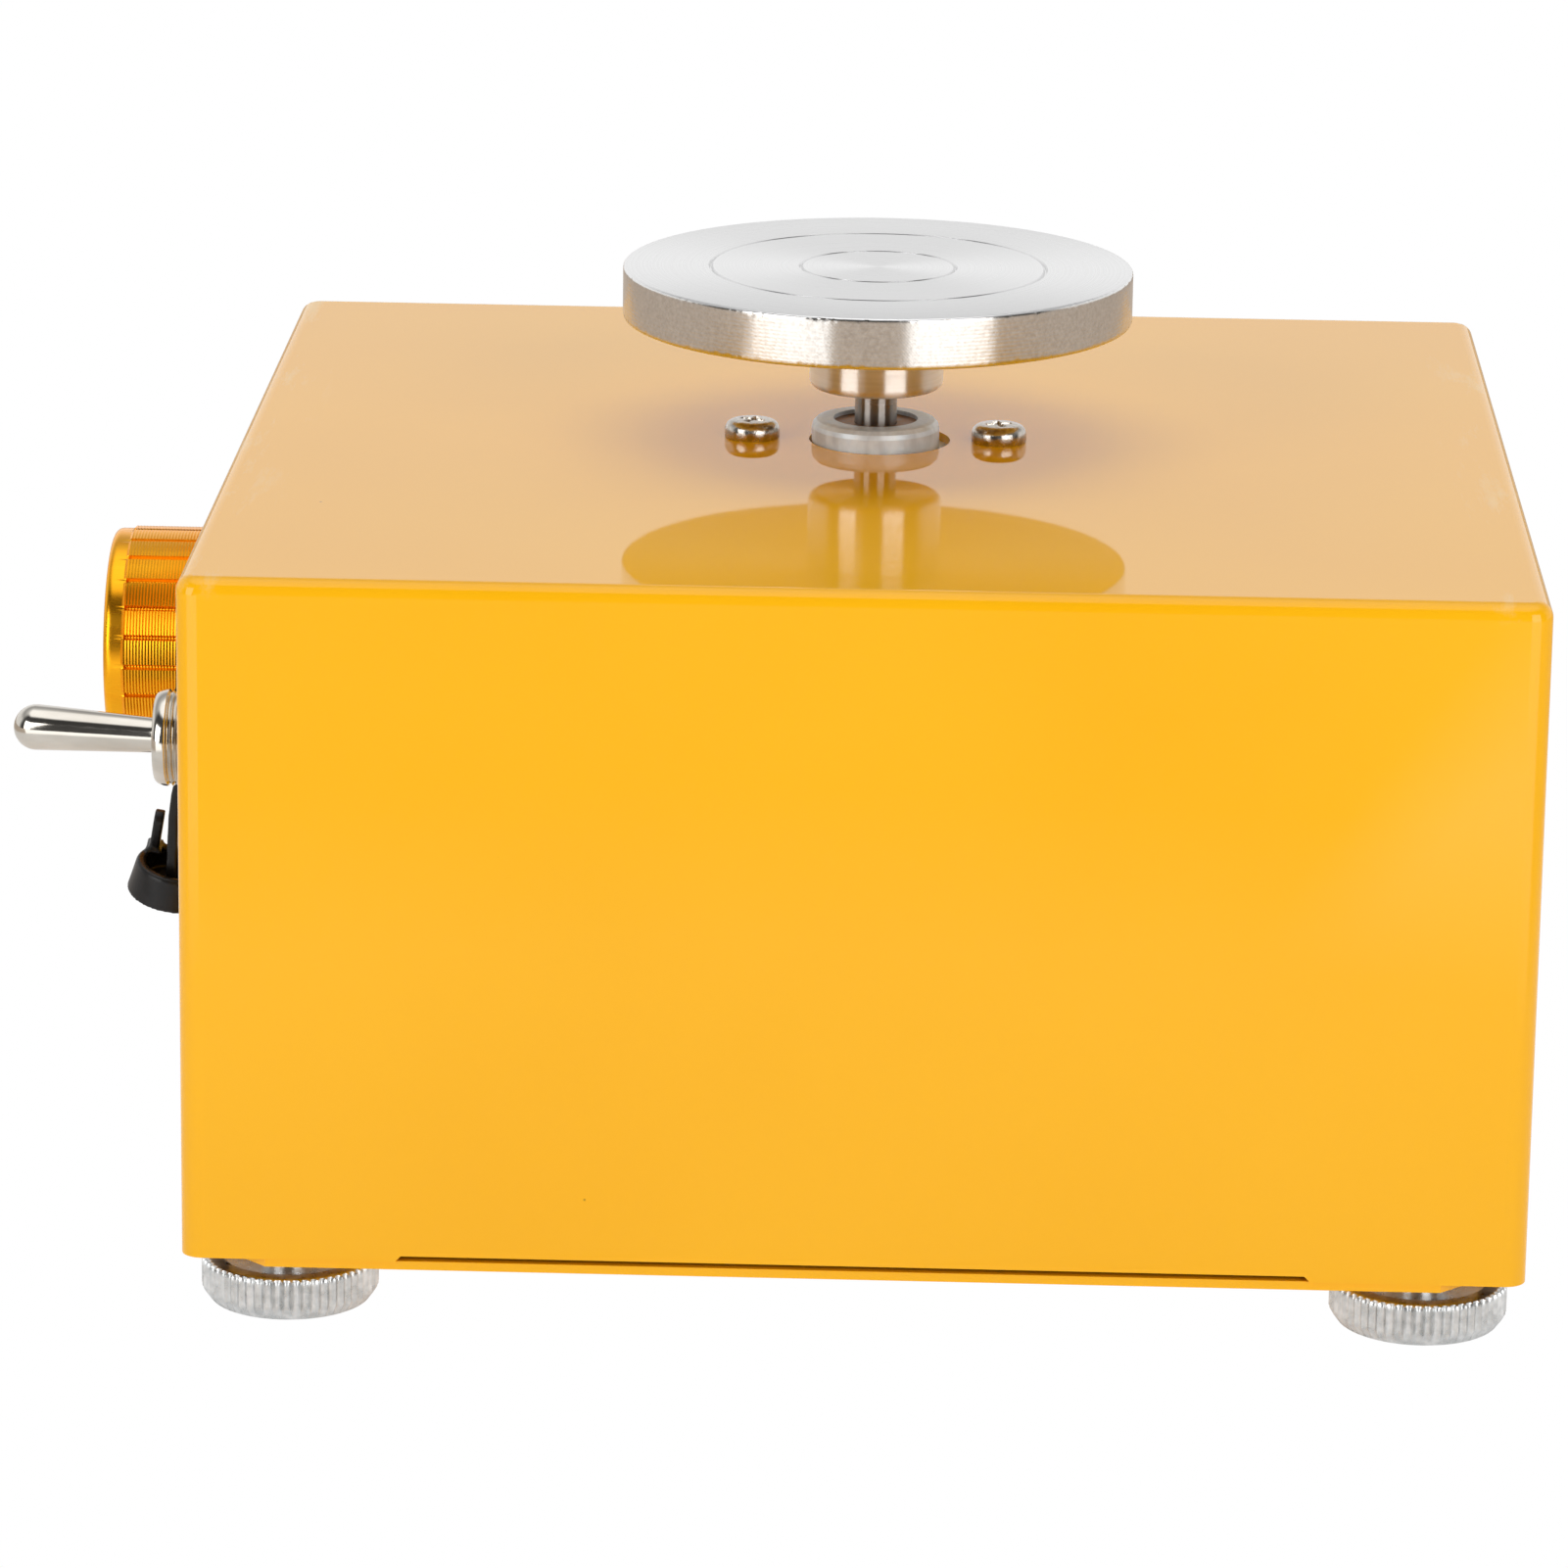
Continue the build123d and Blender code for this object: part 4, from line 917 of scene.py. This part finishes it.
def edge_nicks(angle, r, z):
    """Small dents along the two broken edges of the rim, in millimetres."""
    if r < DISC_R - EDGE_BREAK or EDGE_BREAK < z < DISC_T - EDGE_BREAK:
        return 0.0
    dent = noise.noise(Vector((math.cos(angle) * DENTS_ROUND, math.sin(angle) * DENTS_ROUND, z)))
    return DENT_DEPTH * max(0.0, dent - DENT_FROM)


disc_mesh = lathe("turntable_disc", disc_profile, even_angles(720), edge_nicks)
disc_mesh.materials.append(faced_aluminium)
disc_mesh.materials.append(turned_rim)
for face in disc_mesh.polygons:
    if abs(face.normal.z) < 0.5 and Vector(face.center[:2]).length > (DISC_R - 1) * MM:
        face.material_index = 1
place_piece(
    "turntable_disc",
    disc_mesh,
    Matrix.Translation((SPINDLE_X, 0, DISC_LOW.z)),
    faced_aluminium,
    "spindle",
    ["turntable"],
    sharp_deg=40,
)

# ---------------------------------------------------------------- hub and its set screw
# The hub under the table is turned from the same bar and bored for the motor shaft. One
# black set screw clamps it on the shaft's flat.
turned_bar = surface(
    "turned_aluminium_bar",
    (linear("E2DFDA"), linear("EEECE9")),
    0.5,
    (0.28, 0.36),
    0.2,
    0.002,
    (0.05, 0.05, 1),
    turned_about="Z",
    Metallic=1.0,
    Anisotropic=1.0,
    **{"Anisotropic Rotation": 0.25},
)
paint(["turntable_hub"], turned_bar)
# Black oxide is a thin dark coat, oily and slightly brown where it thins on the edges.
black_oxide = surface(
    "black_oxide_on_steel", (linear("1E1C1B"), linear("2E2B29")), 0.7, (0.25, 0.4), 0.12, 0.004, Metallic=0.6
)
paint(["hub_set_screw", "knob_set_screw"], black_oxide)
for name in ("turntable_hub", "hub_set_screw", "knob_set_screw"):
    shade_by_angle(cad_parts[name], 30)

# ---------------------------------------------------------------- speed knob
# The knob is turned from aluminium with a smooth band at its face, then slotted along its
# side for grip and anodised gold. A set screw holds it on the potentiometer's shaft.
KNOB_LOW, KNOB_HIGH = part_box("speed_knob")
PANEL_X = COVER_LOW.x
KNOB_R = 13.6
KNOB_BACK = (PANEL_X - KNOB_HIGH.x) / MM
KNOB_FACE = (PANEL_X - KNOB_LOW.x) / MM
KNOB_BAND = 2.2
KNOB_BAND_R = KNOB_R - 0.3
KNOB_EDGE = 0.9
KNOB_BORE_END = 13.0
KNOB_HOLLOW_R = 9.0
KNOB_HOLLOW_END = 6.0
KNOB_DISH = 0.5
KNOB_DISH_RINGS = (8.0, 6.0, 4.0, 2.0)
KNOB_GROOVES = 24
KNOB_GROOVE_HALF_DEG = 1.35
KNOB_GROOVE_DEPTH = 0.55
TURNED_RING_STEP = 0.37
TURNED_RING_DEPTH = 0.08
POT_SHAFT_R = 3.0

# Each groove gets close-set columns of points, and the land between two gets a few.
groove_columns = [-1.6, -1.35, -1.0, -0.5, 0.0, 0.5, 1.0, 1.35, 1.6, 3.2, 5.4, 7.5, 9.6, 11.8]
knob_angles = [
    math.radians(360 / KNOB_GROOVES * i + column) for i in range(KNOB_GROOVES) for column in groove_columns
]


def knob_groove(angle, r, z):
    if r < KNOB_R - 0.6 or z > KNOB_FACE - KNOB_BAND - 0.15:
        return 0.0
    sector = 360 / KNOB_GROOVES
    off = math.degrees(angle) % sector
    off = min(off, sector - off) / KNOB_GROOVE_HALF_DEG
    if off >= 1:
        return 0.0
    shoulder = min(1.0, (KNOB_FACE - KNOB_BAND - 0.15 - z) / 0.3)
    return KNOB_GROOVE_DEPTH * math.sqrt(1 - off * off) * shoulder


knob_profile = [(0, KNOB_BORE_END), (POT_SHAFT_R, KNOB_BORE_END), (POT_SHAFT_R, KNOB_HOLLOW_END)]
knob_profile += [(KNOB_HOLLOW_R, KNOB_HOLLOW_END), (KNOB_HOLLOW_R, KNOB_BACK)]
knob_profile += [(KNOB_R - 0.4, KNOB_BACK), (KNOB_R - 0.12, KNOB_BACK + 0.12), (KNOB_R, KNOB_BACK + 0.4)]
ring_from = KNOB_BACK + 0.45
ring_to = KNOB_FACE - KNOB_BAND - 0.3
ring_count = round((ring_to - ring_from) / TURNED_RING_STEP)
for i in range(ring_count * 4 + 1):
    ring_z = ring_from + (ring_to - ring_from) * i / (ring_count * 4)
    dip = TURNED_RING_DEPTH * (0.5 - 0.5 * math.cos(2 * math.pi * i / 4))
    knob_profile.append((KNOB_R - dip, ring_z))
knob_profile += [(KNOB_BAND_R, KNOB_FACE - KNOB_BAND)]
knob_profile += [(KNOB_BAND_R, KNOB_FACE - KNOB_EDGE - 0.2)]
knob_profile += arc((KNOB_BAND_R - KNOB_EDGE, KNOB_FACE - KNOB_EDGE), KNOB_EDGE, 0, 90, 6)
knob_profile += [(KNOB_R - 3.4, KNOB_FACE), (KNOB_R - 3.8, KNOB_FACE - KNOB_DISH)]
for r in KNOB_DISH_RINGS:
    knob_profile += [(r + 0.12, KNOB_FACE - KNOB_DISH), (r, KNOB_FACE - KNOB_DISH - 0.03)]
    knob_profile += [(r - 0.12, KNOB_FACE - KNOB_DISH)]
knob_profile += [(0, KNOB_FACE - KNOB_DISH)]

# Gold anodising is a dyed glass-clear coat: a deep amber metal with crisp highlights.
gold_anodised = surface(
    "gold_anodised_aluminium",
    ((0.98, 0.40, 0.010, 1), (1.0, 0.46, 0.014, 1)),
    2.0,
    (0.24, 0.30),
    0.10,
    0.0015,
    (1, 1, 0.1),
    turned_about="Z",
    Metallic=0.94,
    Anisotropic=0.6,
    **{"Anisotropic Rotation": 0.25},
)
knob_mesh = lathe("speed_knob", knob_profile, knob_angles, knob_groove)
OUT_OF_PANEL = Matrix.Rotation(math.radians(-90), 4, "Y")
knob_spot = middle("speed_knob")
place_piece(
    "speed_knob_turned",
    knob_mesh,
    Matrix.Translation((PANEL_X, knob_spot.y, knob_spot.z)) @ OUT_OF_PANEL,
    gold_anodised,
    "speed_control",
    ["speed_knob"],
    sharp_deg=35,
)

# ---------------------------------------------------------------- potentiometer
# The speed control is a bought potentiometer: a pressed can with three lugs, a threaded
# brass bushing with its nut and washer on the panel, and a plastic wiper inside.
tinned_can = surface(
    "tinned_pressed_can",
    (linear("BDBDBA"), linear("D2D2CF")),
    1.5,
    (0.2, 0.32),
    0.2,
    0.004,
    Metallic=1.0,
)
paint(["pot_body"], tinned_can)
paint(["pot_nut", "pot_washer", "socket_nut", "socket_pin"], bright_nickel)
# White nylon is milky and matt, with a slight waviness from the mould.
white_nylon = surface(
    "moulded_white_nylon",
    (linear("D6D4CB"), linear("E2E0D8")),
    3.0,
    (0.4, 0.55),
    0.3,
    0.006,
    IOR=1.53,
    **{"Subsurface Weight": 0.1, "Subsurface Radius": (0.002, 0.002, 0.001)},
)
paint(["pot_wiper", "board_header"], white_nylon)
for name in ("pot_body", "pot_nut", "pot_washer", "socket_nut", "socket_pin", "pot_wiper", "board_header"):
    shade_by_angle(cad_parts[name], 30)

# ---------------------------------------------------------------- power switch
# A panel toggle switch: a nickel-plated brass bushing with a rolled rim and a fine thread,
# two hexagon nuts that clamp the panel, and a turned lever with a rounded tip.
BUSH_R = 5.55
BUSH_BORE_R = 4.3
BUSH_BACK = -12.0
BUSH_FRONT = 5.9
BUSH_RIM = 1.5
BUSH_RIM_ROLL = 0.82
BUSH_EYE_R = 3.5
BUSH_EYE_DEPTH = 3.2
THREAD_RIDGES = 4
THREAD_STEP = 0.62
THREAD_DEPTH = 0.3
LEVER_PIVOT_OUT = 1.4
LEVER_TILT_DEG = 10.0
LEVER_TIP_R = 2.62
LEVER_ROOT_R = 1.9
LEVER_ROOT_AT = 2.35
LEVER_BALL_R = 3.0
LEVER_TAIL_R = 1.1
LEVER_TAIL_END = -19.0
LEVER_REACH = 22.6
LEVER_TIP_OUT = (LEVER_REACH - LEVER_PIVOT_OUT - LEVER_TIP_R) / math.cos(math.radians(LEVER_TILT_DEG))

rim_start = BUSH_FRONT - BUSH_RIM
bush_profile = [(BUSH_BORE_R, BUSH_BACK), (BUSH_R, BUSH_BACK)]
bush_profile += [(BUSH_R, rim_start - THREAD_RIDGES * THREAD_STEP)]
for i in range(THREAD_RIDGES):
    ridge_z = rim_start - (THREAD_RIDGES - i) * THREAD_STEP
    for part, dip in ((0.15, 0.25), (0.35, 0.85), (0.5, 1.0), (0.65, 0.85), (0.85, 0.25), (1.0, 0.0)):
        bush_profile.append((BUSH_R - THREAD_DEPTH * dip, ridge_z + part * THREAD_STEP))
bush_profile += [
    (BUSH_R - BUSH_RIM_ROLL * (1 - math.cos(t)), rim_start + BUSH_RIM * math.sin(t))
    for t in (math.radians(10 * k) for k in range(1, 10))
]
bush_profile += [(BUSH_BORE_R - 0.05, BUSH_FRONT), (BUSH_BORE_R - 0.1, BUSH_FRONT - 0.3)]
bush_profile += [(BUSH_EYE_R, LEVER_PIVOT_OUT), (BUSH_BORE_R, LEVER_PIVOT_OUT - BUSH_EYE_DEPTH)]
bush_profile += [(BUSH_BORE_R, BUSH_BACK)]
bush_mesh = lathe("switch_bushing", bush_profile, even_angles(144))
bush_spot = middle("switch_bushing")
place_piece(
    "switch_bushing_turned",
    bush_mesh,
    Matrix.Translation((PANEL_X, bush_spot.y, bush_spot.z)) @ OUT_OF_PANEL,
    bright_nickel,
    "housing",
    ["switch_bushing"],
    sharp_deg=50,
)

lever_profile = [(0, LEVER_TAIL_END), (LEVER_TAIL_R - 0.4, LEVER_TAIL_END)]
lever_profile += [(LEVER_TAIL_R, LEVER_TAIL_END + 0.4), (LEVER_TAIL_R, -2.2), (1.9, -2.2)]
lever_profile += [
    (LEVER_BALL_R * math.sin(t), -LEVER_BALL_R * math.cos(t))
    for t in (math.radians(40 + 10 * k) for k in range(9))
]
lever_profile += [(2.6, 1.45), (2.1, 1.9), (LEVER_ROOT_R + 0.02, LEVER_ROOT_AT)]
lever_profile += [
    (
        LEVER_ROOT_R + (LEVER_TIP_R - LEVER_ROOT_R) * k / 6,
        LEVER_ROOT_AT + (LEVER_TIP_OUT - LEVER_ROOT_AT) * k / 6,
    )
    for k in range(1, 7)
]
lever_profile += [
    (LEVER_TIP_R * math.cos(t), LEVER_TIP_OUT + LEVER_TIP_R * math.sin(t))
    for t in (math.radians(9 * k) for k in range(1, 11))
]
lever_mesh = lathe("switch_lever", lever_profile, even_angles(96))
lever_at = Vector((PANEL_X - LEVER_PIVOT_OUT * MM, bush_spot.y, bush_spot.z))
place_piece(
    "switch_lever_turned",
    lever_mesh,
    Matrix.Translation(lever_at) @ Matrix.Rotation(math.radians(-LEVER_TILT_DEG), 4, "Z") @ OUT_OF_PANEL,
    bright_nickel,
    "switch_lever",
    ["switch_lever"],
    sharp_deg=40,
)
paint(["switch_nuts"], bright_nickel)
shade_by_angle(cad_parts["switch_nuts"], 30)

# ---------------------------------------------------------------- power socket and dust cap
# The socket's black nose carries a soft rubber ring, and a dust cap hangs from the ring by
# a strap. Ring, strap and cap are moulded, so every joint between them is rounded.
black_socket_plastic = surface(
    "moulded_black_socket_plastic",
    (linear("161617"), linear("1F1F20")),
    3.0,
    (0.28, 0.42),
    0.25,
    0.004,
    IOR=1.53,
)
paint(["socket_body"], black_socket_plastic)
shade_by_angle(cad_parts["socket_body"], 30)
# Soft rubber is a dark, slightly dusty black with a broad dull sheen.
soft_rubber = surface(
    "moulded_soft_rubber",
    (linear("0E0D0E"), linear("181718")),
    2.2,
    (0.26, 0.42),
    0.22,
    0.010,
    IOR=1.4,
)
MOULD_ROUNDING_MM = 0.16
for node, body in (("dust_cap", "dust_cap"), ("dust_cap_ring", "housing")):
    rubber_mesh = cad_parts[node].data.copy()
    rubber_mesh.name = node + "_rubber"
    rubber_mesh.materials.clear()
    rubber_mesh.materials.append(soft_rubber)
    rubber = bpy.data.objects.new(node + "_rubber", rubber_mesh)
    scene.collection.objects.link(rubber)
    blend_joints = rubber.modifiers.new("mould", "REMESH")
    blend_joints.mode = "VOXEL"
    blend_joints.voxel_size = MOULD_ROUNDING_MM * MM
    blend_joints.use_smooth_shade = True
    soften = rubber.modifiers.new("soften", "SMOOTH")
    soften.factor = 0.5
    soften.iterations = 8
    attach(rubber, body)
    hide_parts(node)

# ---------------------------------------------------------------- controller board
# A small printed board on brass posts drives the motor: glass-filled laminate under a
# green solder mask, with bought parts and screw terminals soldered to it.
TRACK_MM = 2.54
WEAVE_MM = 0.5
WEAVE_DEPTH_MM = 0.01
solder_mask = new_material("green_solder_mask")
tree = solder_mask.node_tree
place = add_node(tree, "ShaderNodeTexCoord")
tracks = add_node(
    tree,
    "ShaderNodeTexBrick",
    {
        "Scale": 1 / (4 * TRACK_MM * MM),
        "Mortar Size": 0.06,
        "Color1": linear("0E5A2E"),
        "Color2": linear("0C5229"),
        "Mortar": linear("1C7A42"),
    },
    {"Vector": (place, "Object")},
)
weave = add_node(tree, "ShaderNodeTexNoise", {"Scale": 1 / (WEAVE_MM * MM)}, {"Vector": (place, "Object")})
track_relief = add_node(
    tree, "ShaderNodeBump", {"Distance": WEAVE_DEPTH_MM * MM}, {"Height": (weave, "Fac")}
)
mask = add_node(
    tree,
    "ShaderNodeBsdfPrincipled",
    {"Roughness": 0.28, "IOR": 1.5},
    {"Base Color": (tracks, "Color"), "Normal": (track_relief, "Normal")},
)
add_node(tree, "ShaderNodeOutputMaterial", links={"Surface": (mask, 0)})
paint(["board"], solder_mask)
# The capacitor's sleeve is shrunk film, smooth and glossy.
shrunk_sleeve = surface(
    "black_shrunk_sleeve", (linear("141416"), linear("1E1E22")), 2.0, (0.18, 0.3), 0.6, 0.01, IOR=1.5
)
paint(["board_capacitor"], shrunk_sleeve)
# Black anodised aluminium keeps the fine lines of the extrusion die.
black_anodised = surface(
    "black_anodised_extrusion",
    (linear("202022"), linear("303033")),
    1.5,
    (0.3, 0.45),
    0.15,
    0.008,
    (1, 1, 0.05),
    Metallic=0.7,
)
paint(["board_heatsink"], black_anodised)
# The screw terminals are moulded in a matt green nylon.
green_nylon = surface(
    "moulded_green_nylon", (linear("1E6B38"), linear("267A42")), 3.0, (0.4, 0.55), 0.2, 0.006, IOR=1.53
)
paint(["board_terminals"], green_nylon)
for name in ("board", "board_capacitor", "board_heatsink", "board_terminals"):
    shade_by_angle(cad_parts[name], 30)

# ---------------------------------------------------------------- wiring
# Stranded hook-up wire in a soft red jacket runs from the lugs to the board's terminals,
# laid close to the bottom plate.
wire_jacket = surface(
    "soft_red_wire_jacket", (linear("8E1512"), linear("A81C17")), 3.0, (0.32, 0.45), 0.3, 0.006, IOR=1.52
)
WIRES = ["wires_speed_control", "wires_motor", "wires_power"]
paint(WIRES, wire_jacket)
for name in WIRES:
    shade_by_angle(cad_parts[name], 40)
